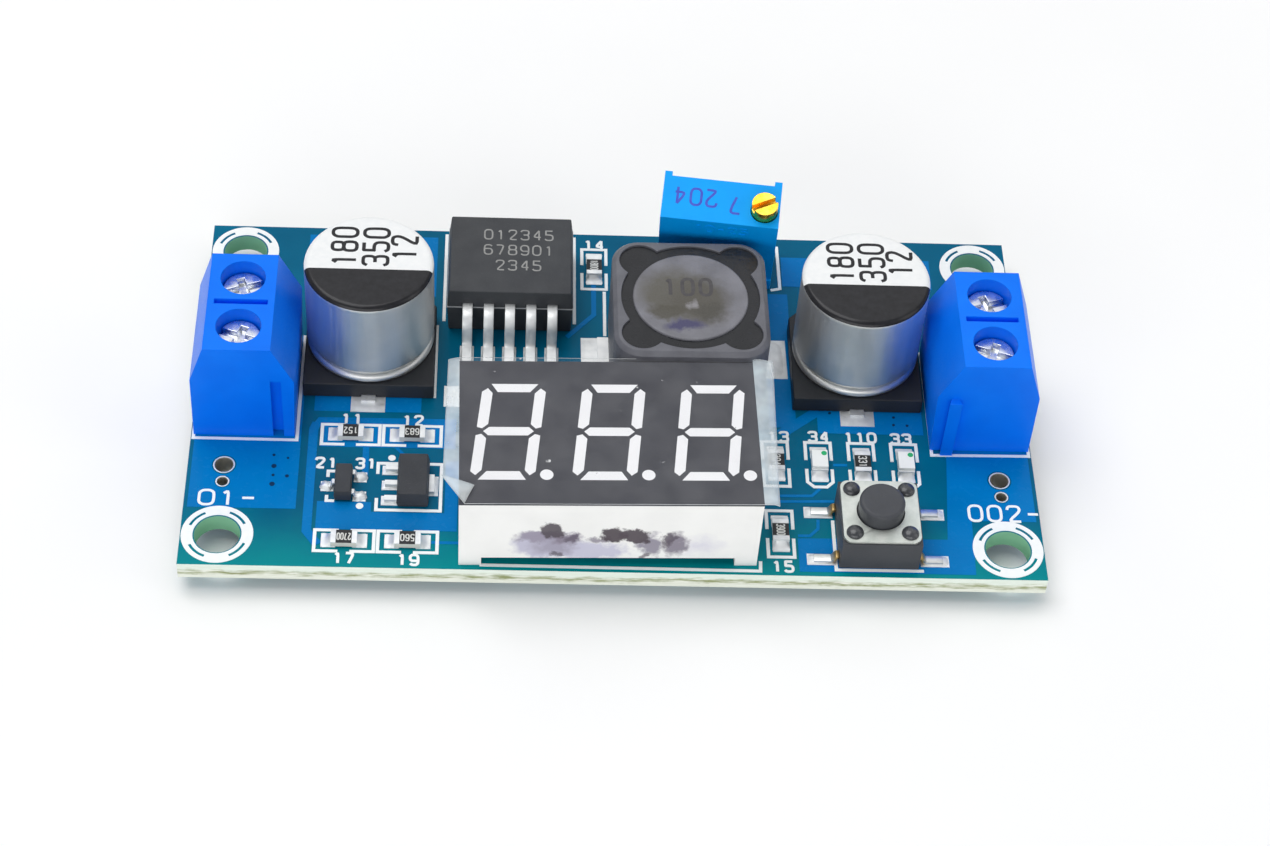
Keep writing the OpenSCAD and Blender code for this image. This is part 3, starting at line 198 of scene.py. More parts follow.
def solder_mask_board():
    """Liquid solder mask cured on glass epoxy: a glossy teal skin, clearer green where it thins out towards
    the front edge. The routed edge is cut laminate: pale layers with ragged, brownish glass fibre."""
    look = Look("liquid_solder_mask_on_glass_epoxy", {"IOR": 1.54, "Specular IOR Level": 0.07})
    upright = add(look, MATH, None, {0: facing(look)["Z"]}, operation="ABSOLUTE")
    is_skin = add(look, MATH, {1: 0.6}, {0: upright}, operation="GREATER_THAN")
    skin = clouded(look, "#005a7c", "#006c8e", 8.0, 0.2)
    wavy = add(look, "ShaderNodeSeparateXYZ", None, {"Vector": torn_place(look, 6.0, (0.0, 5.0, 0.0))})
    thinning = {"From Min": -11.5 * MM, "From Max": BOARD_LOW.y * MM, "To Max": 0.9}
    thin = add(look, RANGE, thinning, {"Value": wavy.outputs["Y"]})
    greener = add(look, MIX, {7: linear("#008c90")}, {0: thin, 6: skin}, data_type="RGBA")
    # Glass layers lie 0.2 mm apart, and the bundles of cut fibre show for about 1.5 mm along the edge
    flecks = add(look, RANGE, {"From Min": 0.4, "From Max": 0.66}, {"Value": stretched(look, 1.5, 0.2, 4.0)})
    laminate = {6: linear("#9aa274"), 7: linear("#f4f8ec")}
    edge = add(look, MIX, laminate, {0: flecks}, data_type="RGBA")
    # Paler towards the top of the cut edge: partly resin-rich laminate, partly a painted highlight of the top
    # rim; paler again towards the bottom
    torn = torn_place(look, 2.0, (0.0, 0.0, 0.9))
    edge = stained(look, edge, torn, "#f0faf0", (0.0, 0.0, BOARD_TOP), (0.0, 0.0, 0.85), 0.4, 0.92)
    edge = stained(look, edge, torn, "#f2f6ea", (0.0, 0.0, BOARD_LOW.z), (0.0, 0.0, 0.6), 0.5, 0.9)
    # Inside the holes, more than 0.1 mm from the rim, the drilled wall is greener than the outer edge
    outward = add(look, VECTOR, None, {0: look.place}, operation="ABSOLUTE")
    across = add(look, "ShaderNodeSeparateXYZ", None, {"Vector": outward}).outputs
    rims = [
        add(look, MATH, {1: (limit - 0.1) * MM}, {0: across[axis]}, operation="GREATER_THAN")
        for axis, limit in (("X", BOARD_HIGH.x), ("Y", BOARD_HIGH.y))
    ]
    is_rim = add(look, MATH, None, dict(enumerate(rims)), operation="MAXIMUM")
    wall = add(look, MIX, {6: linear("#8cc4a2")}, {0: is_rim, 7: edge}, data_type="RGBA")
    colour = add(look, MIX, None, {0: is_skin, 6: wall, 7: greener}, data_type="RGBA")
    feed(look, "Base Color", colour)
    feed(look, "Roughness", add(look, RANGE, {"To Min": 0.8, "To Max": 0.26}, {"Value": is_skin}))
    # The glass weave under the mask has a thread pitch of 0.5 mm and barely shows
    threads = {"Scale": PER_MM / 0.5, "Randomness": 0.35}
    relief(look, add(look, "ShaderNodeTexVoronoi", threads, {"Vector": look.place}), 0.006)
    return look.material


def mask_over_copper():
    """The same mask where copper lies under it: the metal sends light back, so the blue is clearer."""
    look = Look("liquid_solder_mask_over_copper", {"IOR": 1.54, "Specular IOR Level": 0.07})
    clouded(look, "#0073b8", "#007dc4", 6.0, 0.2)
    grained(look, 0.6, 0.004, (0.2, 0.3))
    return look.material


def ink(name, first, second, roughness, shine=0.3):
    """Screen-printed epoxy ink: matt, opaque and a little thin in places."""
    look = Look(name, {"IOR": 1.5, "Roughness": roughness, "Specular IOR Level": shine})
    clouded(look, first, second, 0.5, 0.2)
    grained(look, 0.15, 0.004)
    return look.material


def tin(name, first, second, rough, lump, depth):
    """Tin left by hot-air levelling or a soldering iron: bright, soft-edged and slightly lumpy."""
    look = Look(name, {"Metallic": 1.0})
    clouded(look, first, second, 0.8)
    grained(look, lump, depth, rough)
    return look.material


def plated_switch_legs():
    """Silver-plated brass legs: the plating is bright at the feet and brassy where the legs were sheared
    and bent at the base."""
    look = Look("silver_plated_brass_legs", {"Metallic": 1.0})
    base = clouded(look, "#d2d4d2", "#e2e4e2", 0.8)
    stained(look, base, look.place, "#b08a34", centre_of("switch_base"), (3.65, 0.0, 0.0), 0.08, 0.85)
    grained(look, 0.25, 0.006, (0.3, 0.45))
    return look.material


def moulded(name, first, second, rough, grain=0.12, depth=0.004, ior=1.53, shine=0.3):
    """Injection-moulded plastic: one even colour with a faint spark-eroded grain."""
    look = Look(name, {"IOR": ior, "Specular IOR Level": shine})
    clouded(look, first, second, 3.0, 0.25)
    grained(look, grain, depth, rough)
    return look.material


def turned(name, first, second, rough, pitch, depth):
    """Turned and plated metal: bright, with fine marks left by the tool."""
    look = Look(name, {"Metallic": 1.0})
    clouded(look, first, second, 0.7)
    grained(look, pitch, depth, rough, 3.0)
    return look.material


def drawn_aluminium():
    """Deep-drawn aluminium can with a clear lacquer: satin, with faint lines along the draw."""
    look = Look("drawn_aluminium_satin", {"Metallic": 1.0})
    clouded(look, "#dadbd9", "#e6e6e4", 4.0)
    # Drawing lines are about 0.05 mm apart, drawn at 0.12 mm so that they show
    relief(look, stretched(look, 0.12, 5.0, 2.0), 0.004, (0.42, 0.52))
    return look.material


def filled_epoxy(name, first, second):
    """Transfer-moulded epoxy filled with silica: matt, dark grey, with a fine grit of paler grains."""
    look = Look(name, {"IOR": 1.55, "Specular IOR Level": 0.25})
    base = clouded(look, first, second, 2.0, 0.2)
    # Silica grains are about 0.05 mm, drawn at 0.09 mm so that they show
    grit = grained(look, 0.09, 0.008, (0.5, 0.68))
    pale = add(look, RANGE, {"From Min": 0.62, "From Max": 0.8, "To Max": 0.3}, {"Value": grit})
    speck = add(look, MIX, {7: linear("#77777a")}, {0: pale, 6: base}, data_type="RGBA")
    feed(look, "Base Color", speck)
    return look.material


def ferrite(name, first, second, patch):
    """Pressed and sintered ferrite: dull violet-grey with pores."""
    look = Look(name, {"IOR": 1.9, "Specular IOR Level": 0.3})
    base = clouded(look, first, second, patch, 0.2)
    grained(look, 0.16, 0.012, (0.42, 0.62), 3.0)
    return look, base


# Stains on the drum core: colour, place from its middle, half sizes, softness of the rim and cover
DRUM_STAINS = [
    ("#504d44", (-1.2, 0.3), (3.5, 3.1), 0.5, 0.95),
    ("#48443b", (0.7, -0.6), (2.9, 3.0), 0.5, 0.95),
    ("#403c30", (-1.8, -1.6), (1.9, 0.9), 0.4, 0.85),
    ("#3b3830", (1.4, -1.7), (1.5, 1.2), 0.5, 0.85),
    ("#302d5a", (-0.6, -3.0), (2.0, 0.75), 0.5, 0.95),
    ("#8e8c90", (0.2, -1.0), (0.4, 0.6), 0.8, 0.8),
]


def drum_ferrite():
    """Ground ferrite disc: paler grey, with olive flux stains across its middle and a dark blue touch of
    ink near its front."""
    look, base = ferrite("sintered_drum_ferrite", "#63636a", "#797981", 2.2)
    middle = centre_of("inductor_drum_core")
    torn = torn_place(look, 1.8, (2.4, 2.4, 0.0))
    for colour, (x, y), half, soft, strength in DRUM_STAINS:
        spot = (middle.x + x, middle.y + y, 0.0)
        base = stained(look, base, torn, colour, spot, (*half, 0.0), soft, strength)
    return look.material


# Ink smears on the display's front side: colour, middle along and above the board, half length, half
# height, softness of the rim and cover
SMEARS = [
    ("#c2c0d4", (-4.2, 2.4), (3.3, 1.9), 0.3, 0.95),
    ("#cac9dc", (-0.7, 1.8), (2.6, 1.2), 0.4, 0.95),
    ("#e0dfe9", (7.0, 2.5), (2.2, 1.5), 0.9, 0.9),
    ("#9a93a6", (-5.2, 3.4), (2.1, 0.85), 0.4, 0.95),
    ("#a29db0", (-4.0, 2.2), (2.0, 1.2), 0.6, 0.9),
    ("#867e8e", (-3.1, 3.3), (1.6, 0.9), 0.5, 0.95),
    ("#8f8997", (-0.4, 3.2), (1.0, 0.5), 0.5, 0.9),
    ("#918c9c", (3.2, 2.5), (1.25, 1.6), 0.4, 0.95),
    ("#857e8d", (5.2, 2.6), (1.1, 1.7), 0.5, 0.95),
    ("#4f4650", (-4.3, 4.1), (0.95, 1.2), 0.3, 0.95),
    ("#62596a", (-2.7, 3.4), (0.9, 0.6), 0.5, 0.9),
    ("#4a4048", (0.5, 3.75), (1.2, 0.95), 0.25, 0.97),
    ("#4d434c", (2.0, 3.55), (1.15, 0.9), 0.25, 0.97),
    ("#5c5360", (4.7, 3.2), (0.7, 1.0), 0.4, 0.9),
    ("#5a525c", (-3.9, 1.25), (0.6, 0.4), 0.5, 0.8),
    ("#6a626c", (2.6, 1.2), (0.5, 0.4), 0.5, 0.8),
]


def smeared_display_white():
    """White moulded case whose grey edge paint was smeared down the front side: dry dark patches along the
    top that run out below into thin violet washes."""
    shine = {"IOR": 1.53, "Roughness": 0.42, "Specular IOR Level": 0.3}
    look = Look("moulded_white_case_with_ink_smears", shine)
    clean = clouded(look, "#f5f5f3", "#fafaf8", 3.0)
    grained(look, 0.14, 0.003)
    middle = centre_of("display_case")
    # The brush left tears about 1 mm long
    torn = torn_place(look, 1.1, (2.6, 0.0, 2.2))
    dirty = clean
    for colour, (along, rise), (half_along, half_up), soft, strength in SMEARS:
        spot = (middle.x + along, 0.0, BOARD_TOP + rise)
        dirty = stained(look, dirty, torn, colour, spot, (half_along, 0.0, half_up), soft, strength)
    is_front = add(look, MATH, {1: -0.5}, {0: facing(look)["Y"]}, operation="LESS_THAN")
    feed(look, "Base Color", add(look, MIX, None, {0: is_front, 6: clean, 7: dirty}, data_type="RGBA"))
    return look.material


def chip_resistor_glass():
    """Thick-film chip: black overglaze on top, and the bare white alumina of its cut sides."""
    look = Look("overglazed_alumina_chip", {"IOR": 1.55, "Specular IOR Level": 0.25})
    is_top = add(look, MATH, {1: 0.5}, {0: facing(look)["Z"]}, operation="GREATER_THAN")
    glaze = clouded(look, "#232325", "#2e2e31", 0.5)
    grained(look, 0.12, 0.006, (0.3, 0.5))
    colour = add(look, MIX, {6: linear("#dcdad3")}, {0: is_top, 7: glaze}, data_type="RGBA")
    feed(look, "Base Color", colour)
    return look.material


def polyester_film(name, first, second, haze):
    """Clear polyester film: almost unseen where it lies flat on the face, milky where it hangs free,
    and with small painted glints all over it."""
    look = Look(name, {"IOR": 1.6, "Roughness": 0.16, "Specular IOR Level": 0.2})
    clouded(look, first, second, 2.5)
    ripple = grained(look, 2.2, 0.04)
    hazy = {"From Min": 0.3, "From Max": 0.75, "To Min": haze[0], "To Max": haze[1]}
    thin = add(look, RANGE, hazy, {"Value": ripple})
    # Painted highlights: small glints about 0.5 mm long and far apart, where the pale film turns more opaque
    painted_highlight_spots = add(look, NOISE, {"Scale": PER_MM / 0.9, "Detail": 2.0}, {"Vector": look.place})
    painted_highlight_cover = add(look, RANGE, {"From Min": 0.75, "From Max": 0.8, "To Max": 0.6}, {"Value": painted_highlight_spots})
    feed(look, "Alpha", add(look, MATH, None, {0: thin, 1: painted_highlight_cover}, operation="MAXIMUM"))
    return look.material


# Finishes that pieces of this script take

COPPER_MASK = mask_over_copper()
WHITE_INK = ink("white_screen_printed_epoxy_ink", "#f6faf9", "#fdfefe", 0.5)
BLACK_INK = ink("black_pad_printed_ink", "#1e1e21", "#27272b", 0.24)
CAN_WHITE = ink("white_lacquer_on_aluminium", "#eceeef", "#f3f4f4", 0.36, 0.15)
STAMP_INK = ink("violet_stamped_ink", "#3346c0", "#3f5ad0", 0.4)
CHIP_INK = ink("white_pad_printed_chip_ink", "#d3d3ce", "#e6e7e2", 0.5)
LASER_MARK = ink("laser_etched_epoxy", "#8a8a89", "#a0a09e", 0.7)
FAINT_INK = ink("worn_stamp_on_ferrite", "#4e4c4e", "#5a5859", 0.6, 0.15)
FLASH_LINE = ink("thin_epoxy_flash", "#a8aaad", "#bcbec0", 0.6)
VIA_MASK = ink("solder_mask_in_via", "#062c4e", "#0a3a60", 0.4, 0.15)
TINNED_PADS = tin("hot_air_levelled_tin", "#eceeee", "#f6f7f7", (0.62, 0.78), 0.35, 0.014)
SOLDER = tin("reflowed_tin_solder", "#e8eaeb", "#f5f6f6", (0.56, 0.76), 0.5, 0.02)
# The barrels' tin is darker than the pads' tin: painted shade of the inside of the wire holes
BARREL_TIN_DARKENED_AS_PAINTED_SHADE = tin("tinned_hole_barrel_with_painted_shade", "#b2aea2", "#c2beb2", (0.5, 0.65), 0.3, 0.01)
TRIMMER_BLUE = moulded("moulded_sky_blue_polyester", "#009cf6", "#00a8fe", (0.32, 0.44), shine=0.12)
RIVET_BLACK = moulded("hot_riveted_polyamide", "#36383c", "#424448", (0.2, 0.3), 0.4, 0.02, shine=0.6)
LED_GREEN = moulded("green_tinted_epoxy_mark", "#20a868", "#2cc07c", (0.25, 0.35), 0.2, 0.003)
FLAT_FILM = polyester_film("clear_polyester_film", "#f6f8fa", "#fdfdfe", (0.01, 0.03))
LOOSE_FILM = polyester_film("loose_polyester_film", "#e2eff6", "#f2f8fa", (0.22, 0.52))
# The film's cut edges are drawn pale and nearly opaque: a painted highlight along them
FILM_EDGE_PAINTED_HIGHLIGHT = polyester_film("cut_polyester_edge_painted_highlight", "#eef3f5", "#f8fafa", (0.75, 0.9))

# Solids with their finishes


def dress(finish, *names):
    for name in names:
        nodes[name].data.materials.clear()
        nodes[name].data.materials.append(finish)


LEADS = ["capacitor_terminals", "regulator_leadframe", "inductor_terminals", "trimmer_pins", "display_pins"]
SMALL_CHIPS = ["three_lead_chip", "supply_transistor", "meter_chip", "rectifier_diode"]
SCREWS = both("screw_front") + both("screw_back")
CLAMPS = both("clamp_front") + both("clamp_back")
dress(solder_mask_board(), "circuit_board")
dress(TINNED_PADS, "solder_pads")
dress(SOLDER, "solder_joints", "chip_end_caps")
leads = tin("tin_plated_copper_leads", "#e6e8e9", "#f3f4f4", (0.5, 0.66), 0.2, 0.005)
dress(leads, "small_package_leads", *LEADS)
blue = moulded("moulded_blue_polyamide", "#0071f4", "#047bfd", (0.3, 0.42), shine=0.12)
dress(blue, *both("terminal_housing"))
dress(turned("zinc_plated_turned_steel", "#dde0e4", "#f0f2f4", (0.2, 0.34), 0.5, 0.012), *SCREWS)
dress(turned("zinc_plated_pressed_steel", "#b4b8bd", "#c7cbcf", (0.28, 0.42), 0.2, 0.006), *CLAMPS)
dress(turned("tin_plated_brass_strip", "#b9a779", "#c9b88c", (0.28, 0.4), 0.2, 0.006), *both("contacts"))
dress(drawn_aluminium(), *both("capacitor_can"))
phenolic = moulded("moulded_black_phenolic", "#25272b", "#2e3034", (0.4, 0.55), shine=0.25)
dress(phenolic, *both("capacitor_base"))
dress(moulded("white_moulded_led_body", "#f6f9f6", "#fcfefc", (0.3, 0.42), 0.2), *both("led"))
dress(filled_epoxy("transfer_moulded_epoxy", "#3b3d41", "#45474a"), "regulator_body")
dress(filled_epoxy("transfer_moulded_black_epoxy", "#36383c", "#404246"), *SMALL_CHIPS)
dress(chip_resistor_glass(), *RESISTORS)
dress(ferrite("sintered_shield_ferrite", "#54555d", "#64656d", 1.8)[0].material, "inductor_shield")
dress(drum_ferrite(), "inductor_drum_core")
dress(turned("enamelled_copper_wire", "#9c5a2c", "#b06a35", (0.25, 0.35), 0.4, 0.03), "inductor_winding")
glue = moulded("cured_black_epoxy_glue", "#1c1d20", "#28292d", (0.22, 0.4), 0.7, 0.06)
dress(glue, "inductor_adhesive")
dress(TRIMMER_BLUE, "trimmer_housing")
dress(turned("turned_brass", "#ecb234", "#f8cc58", (0.2, 0.32), 0.3, 0.005), "trimmer_screw")
dress(moulded("moulded_ivory_acetal", "#ddd8ca", "#e6e1d4", (0.35, 0.5)), "trimmer_worm_wheel")
dress(moulded("fired_alumina", "#dedbd0", "#e8e5dc", (0.5, 0.65), 0.1, 0.006, 1.77), "trimmer_element")
dress(smeared_display_white(), "display_case")
grey = moulded("screen_printed_grey_face", "#3e3f46", "#46474e", (0.45, 0.6), 0.1, shine=0.15)
dress(grey, "display_face")
milky = moulded("milky_cast_epoxy", "#ebebee", "#f3f3f5", (0.3, 0.42), 0.2, 0.003, shine=0.15)
dress(milky, "display_segments")
dress(moulded("bare_glass_epoxy", "#b9a873", "#c9b98a", (0.45, 0.6), 0.5, 0.006), "display_board")
dress(FLAT_FILM, "display_film")
dress(moulded("moulded_black_polyamide", "#3c3e43", "#46484d", (0.4, 0.55), shine=0.25), "switch_base")
dress(tin("nickel_plated_brass_sheet", "#c6ccc6", "#d6dad4", (0.42, 0.54), 0.12, 0.003), "switch_cover")
dress(moulded("moulded_black_acetal", "#404247", "#4c4e53", (0.36, 0.5), 0.2, 0.01), "switch_button")
dress(tin("rolled_spring_steel", "#b9bcbe", "#cbcdcf", (0.22, 0.34), 0.2, 0.003), "switch_dome")
dress(plated_switch_legs(), "switch_terminals")


def soften(radius, *names):
    """Rounds the edges of solids that catch the light with them. Facets are first joined to whole faces."""
    for name in names:
        weld = nodes[name].modifiers.new("joined_corners", "WELD")
        weld.merge_threshold = 0.001 * MM
        flat = nodes[name].modifiers.new("whole_faces", "DECIMATE")
        flat.decimate_type = "DISSOLVE"
        flat.angle_limit = math.radians(0.5)
        round_edge = nodes[name].modifiers.new("softened_edges", "BEVEL")
        round_edge.width = radius * MM
        round_edge.segments = 2
        round_edge.limit_method = "ANGLE"
        round_edge.angle_limit = math.radians(35)
        shading = nodes[name].modifiers.new("even_shading", "WEIGHTED_NORMAL")
        shading.keep_sharp = False


soften(0.04, "switch_terminals")
soften(0.05, "circuit_board", "regulator_leadframe")
soften(0.06, "switch_cover", "three_lead_chip", "supply_transistor", *both("led"), *SCREWS)
soften(0.08, "trimmer_screw")
soften(0.1, "switch_base", *both("capacitor_base"))
soften(0.12, "regulator_body", "trimmer_housing", "display_case", *both("terminal_housing"))
soften(0.15, "inductor_shield", "inductor_drum_core")

# Mesh tools


def seat(x, y, z, turn=0.0):
    """A flat frame in millimetres at a place on the object, turned about the vertical."""
    return Matrix.Scale(MM, 4) @ Matrix.Translation((x, y, z)) @ Matrix.Rotation(math.radians(turn), 4, "Z")


def over(node, turn=0.0, x=0.0, y=0.0, level=None):
    """The flat frame over a solid, at a place from its middle, on its top or at another level."""
    middle = centre_of(node)
    return seat(middle.x + x, middle.y + y, top_of(node) if level is None else level, turn)


def shown(name, bm):
    """Makes a mesh into an object of the scene."""
    mesh = bpy.data.meshes.new(name)
    bm.to_mesh(mesh)
    bm.free()
    made = bpy.data.objects.new(name, mesh)
    bpy.context.scene.collection.objects.link(made)
    return made


def piece(name, bm, material, smooth=False, stands_for=()):
    """Makes a mesh into a named piece that rides the module and takes its finish from a slot."""
    bmesh.ops.recalc_face_normals(bm, faces=bm.faces)
    for face in bm.faces:
        face.smooth = smooth
    made = shown(name, bm)
    made.data.materials.append(material)
    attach(made, "module")
    if stands_for:
        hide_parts(*stands_for)
    return made


# Rounds of mending that clear every fold on the inner side of a bend, and the cosine of the sharpest mitre
FOLD_PASSES, SHARPEST_MITRE = 12, 0.5


def strip(bm, points, width, place, rise, closed=False):
    """A flat band along a line of points, with mitred corners that don't fold over on their inner side."""
    points = [Vector(point) for point in points]
    count = len(points)
    links = [(i, (i + 1) % count) for i in range(count if closed else count - 1)]
    sides = {-1: [], 1: []}
    for i, here in enumerate(points):
        ways = []
        if closed or i > 0:
            ways.append((here - points[i - 1]).normalized())
        if closed or i < count - 1:
            ways.append((points[(i + 1) % count] - here).normalized())
        along = sum(ways, Vector((0.0, 0.0))).normalized()
        across = Vector((-along.y, along.x))
        mitre = max(SHARPEST_MITRE, abs(along.dot(ways[0])))
        for side, line in sides.items():
            line.append(here + across * (side * width / (2 * mitre)))
    for line in sides.values():
        for _ in range(FOLD_PASSES):
            for a, b in links:
                if (line[b] - line[a]).dot(points[b] - points[a]) < 0:
                    line[a] = line[b] = (line[a] + line[b]) / 2
    cuts = []
    for left, right in zip(sides[-1], sides[1]):
        frame_of_cut = ((left, 0.0), (left, rise), (right, rise), (right, 0.0))
        cuts.append([bm.verts.new(place @ Vector((*spot, level))) for spot, level in frame_of_cut])
    for a, b in links:
        for i in range(4):
            bm.faces.new((cuts[a][i], cuts[b][i], cuts[b][i - 1], cuts[a][i - 1]))
    if not closed:
        bm.faces.new(cuts[0])
        bm.faces.new(cuts[-1])
    bmesh.ops.remove_doubles(bm, verts=[corner for row in cuts for corner in row], dist=0.002 * MM)


def arc(x, y, radius, start_angle, end_angle, steps=24):
    """Points along an arc, in degrees anticlockwise from +X."""
    points = []
    for i in range(steps + 1):
        angle = math.radians(start_angle + (end_angle - start_angle) * i / steps)
        points.append((x + radius * math.cos(angle), y + radius * math.sin(angle)))
    return points


def circle(x, y, diameter, steps=48):
    return arc(x, y, diameter / 2, 0, 360, steps)[:-1]


def rectangle(x0, y0, x1, y1):
    return [(x0, y0), (x1, y0), (x1, y1), (x0, y1)]


def corners(bm, place, points, level=0.0):
    """New corners at flat points of a frame, all at one level."""
    return [bm.verts.new(place @ Vector((x, y, level))) for x, y in points]


def slab(bm, outline, place, rise, holes=()):
    """A thin flat layer with straight sides, open where holes are given."""
    edges = []
    for loop in (outline, *holes):
        rim = corners(bm, place, loop)
        edges += [bm.edges.new((rim[i - 1], corner)) for i, corner in enumerate(rim)]
    filled = bmesh.ops.triangle_fill(bm, use_beauty=True, edges=edges)
    faces = [part for part in filled["geom"] if isinstance(part, bmesh.types.BMFace)]
    raised = bmesh.ops.extrude_face_region(bm, geom=faces)
    top = [part for part in raised["geom"] if isinstance(part, bmesh.types.BMVert)]
    bmesh.ops.translate(bm, verts=top, vec=place.to_3x3() @ Vector((0.0, 0.0, rise)))


def cut(bm, spot, outward):
    """Cuts away what lies beyond a plane."""
    parts = bm.verts[:] + bm.edges[:] + bm.faces[:]
    bmesh.ops.bisect_plane(bm, geom=parts, plane_co=spot, plane_no=outward, clear_outer=True)


def skinned(bm, rows):
    """New faces between rows of corners that lie side by side."""
    return [
        bm.faces.new((a[j], b[j], b[j + 1], a[j + 1]))
        for a, b in zip(rows, rows[1:])
        for j in range(len(a) - 1)
    ]


def capped(bm, rings, place, height):
    """Skins rings of corners, given from the innermost outwards, round a peak of that height."""
    peak = bm.verts.new(place @ Vector((0.0, 0.0, height)))
    steps = len(rings[0])
    for k in range(steps):
        after = (k + 1) % steps
        bm.faces.new((peak, rings[0][k], rings[0][after]))
        for inner, outer in zip(rings, rings[1:]):
            bm.faces.new((inner[k], outer[k], outer[after], inner[after]))


# Strokes of the plain figures, on a grid of this width and height
GRID_W, GRID_H = 4, 6
FIGURES = {
    "0": [[(0, 3), (0, 5), (1, 6), (3, 6), (4, 5), (4, 1), (3, 0), (1, 0), (0, 1), (0, 3)]],
    "1": [[(1, 4.8), (2.2, 6), (2.2, 0)]],
    "2": [[(0, 4.6), (0.4, 6), (3.6, 6), (4, 4), (0, 0), (4, 0)]],
    "3": [
        [(0, 5), (0.6, 6), (3.4, 6), (4, 5.3), (4, 3.8), (3.3, 3.1), (1.3, 3.1)],
        [(2.9, 3.1), (3.4, 3.1), (4, 2.3), (4, 0.7), (3.4, 0), (0.6, 0), (0, 1)],
    ],
    "4": [[(3.1, 0), (3.1, 6)], [(3.1, 6), (0, 1.8), (4, 1.8)]],
    "5": [
        [(3.8, 6), (0.8, 6), (0.4, 6), (0.4, 5.6), (0.4, 3.2)],
        [(0, 3.5), (3, 3.5), (4, 2.7), (4, 0.8), (3.2, 0), (0.7, 0), (0, 0.9)],
    ],
    "6": [
        [(3.8, 5.2), (3, 6), (0.9, 6), (0, 5), (0, 1), (1, 0), (3, 0), (4, 1), (4, 2.6), (3.1, 3.6)]
        + [(2, 3.6)],
        [(2, 3.6), (0, 3.6)],
    ],
    "7": [[(0, 6), (4, 6), (1.6, 0)]],
    "8": [
        [(2, 3.2), (0.2, 3.4), (0.2, 6), (3.8, 6), (3.8, 3.4), (2, 3.2)],
        [(2, 3.2), (0, 3), (0, 0), (4, 0), (4, 3), (2, 3.2)],
    ],
    "9": [
        [(0.2, 0.8), (1, 0), (3.1, 0), (4, 1), (4, 5), (3, 6), (1, 6), (0, 5), (0, 3.4), (0.9, 2.4)]
        + [(2, 2.4)],
        [(2, 2.4), (4, 2.4)],
    ],
    "-": [[(0.4, 3), (3.6, 3)]],
}

# How far the corners of a stroke are cut back, first and second, as a share of the line between two corners
CORNER_CUTS = (0.22, 0.25)

# Each stroke of a figure lies this much higher than the one before
STROKE_STEP = 0.003

# Sizes of figures: height, width of the stroke and rise
BOARD_FIGURES = (0.95, 0.22, FIGURE_RISE)
INPUT_FIGURES = (1.4, 0.22, FIGURE_RISE)
OUTPUT_FIGURES = (1.5, 0.22, FIGURE_RISE)
CAN_FIGURES = (1.9, 0.28, 0.016)
STAMPED_FIGURES = (1.5, 0.2, 0.01)
MOULDED_FIGURES = (0.9, 0.16, 0.06)
CHIP_FIGURES = (0.6, 0.09, 0.01)
LASER_FIGURES = (1.05, 0.13, 0.006)
DRUM_FIGURES = (1.7, 0.3, 0.006)


def rounded(points):
    """The same line with its inner corners cut back twice, so that a stroke turns smoothly."""
    for share in CORNER_CUTS:
        softer = [points[0]]
        for a, b in zip(points, points[1:]):
            softer.append((a[0] + (b[0] - a[0]) * share, a[1] + (b[1] - a[1]) * share))
            softer.append((b[0] - (b[0] - a[0]) * share, b[1] - (b[1] - a[1]) * share))
        softer.append(points[-1])
        points = [softer[0], *softer[2:-2], softer[-1]]
    return points


def figures(bm, text, place, size, middle=(0.0, 0.0), squeeze=1.0, gap=2.0):
    """Plain figures in one row, centred on a point of the frame."""
    height, stroke, rise = size
    unit = height / GRID_H
    step = unit * (GRID_W * squeeze + gap)
    start_x = middle[0] - (len(text) * step - gap * unit) / 2
    for index, figure in enumerate(text):
        for layer, line in enumerate(FIGURES[figure]):
            points = [
                (start_x + index * step + x * unit * squeeze, middle[1] + (y - GRID_H / 2) * unit)
                for x, y in rounded(line)
            ]
            ring = line[0] == line[-1]
            strip(bm, points[:-1] if ring else points, stroke, place, rise + layer * STROKE_STEP, ring)


def solder_wedge(bm, place, width, height, reach):
    """A concave fillet of solder that runs from a metal end at x = 0 down to its pad along +X."""
    steps = 8
    rows = []
    for i in range(steps + 1):
        u = i / steps
        row = []
        for j in range(steps + 1):
            v = 2 * j / steps - 1
            crown = max(0.0, 1 - abs(v) ** 3) ** 0.6
            flare = 1 + 0.1 * u
            spot = Vector((reach * u, v * flare * width / 2, height * (1 - u) ** 2 * crown))
            row.append(bm.verts.new(place @ spot))
        rows.append(row)
    skinned(bm, rows)


def solder_pool(bm, place, length, width, height):
    """A low pool of solder round a foot: a rounded patch that thins to its rim."""
    rings, steps = 6, 32
    loops = []
    for i in range(1, rings + 1):
        share = i / rings
        points = []
        for k in range(steps):
            angle = 2 * math.pi * k / steps
            c, s = math.cos(angle), math.sin(angle)
            square = share * (abs(c) ** 4 + abs(s) ** 4) ** -0.25
            points.append((c * square * length / 2, s * square * width / 2))
        loops.append(corners(bm, place, points, height * (1 - share**2) ** 0.8))
    capped(bm, loops, place, height)


# Copper areas under the mask

CORNER_X, CORNER_Y = 30.2, 14.8
WIRE_HOLE_Y, TEST_HOLE_Y = -8.0, -9.65
FIELD_EDGE = 32.7

# Each plain field by two of its corners
COPPER_RECTANGLES = [
    (12.4, -3.0, 14.5, 11.4),
    (16.2, -3.5, 24.6, 0.5),
    (14.15, 12.3, 26.6, 15.6),
    (-25.0, 10.2, -14.4, 16.9),
    (-23.6, -2.3, -15.2, 1.0),
]

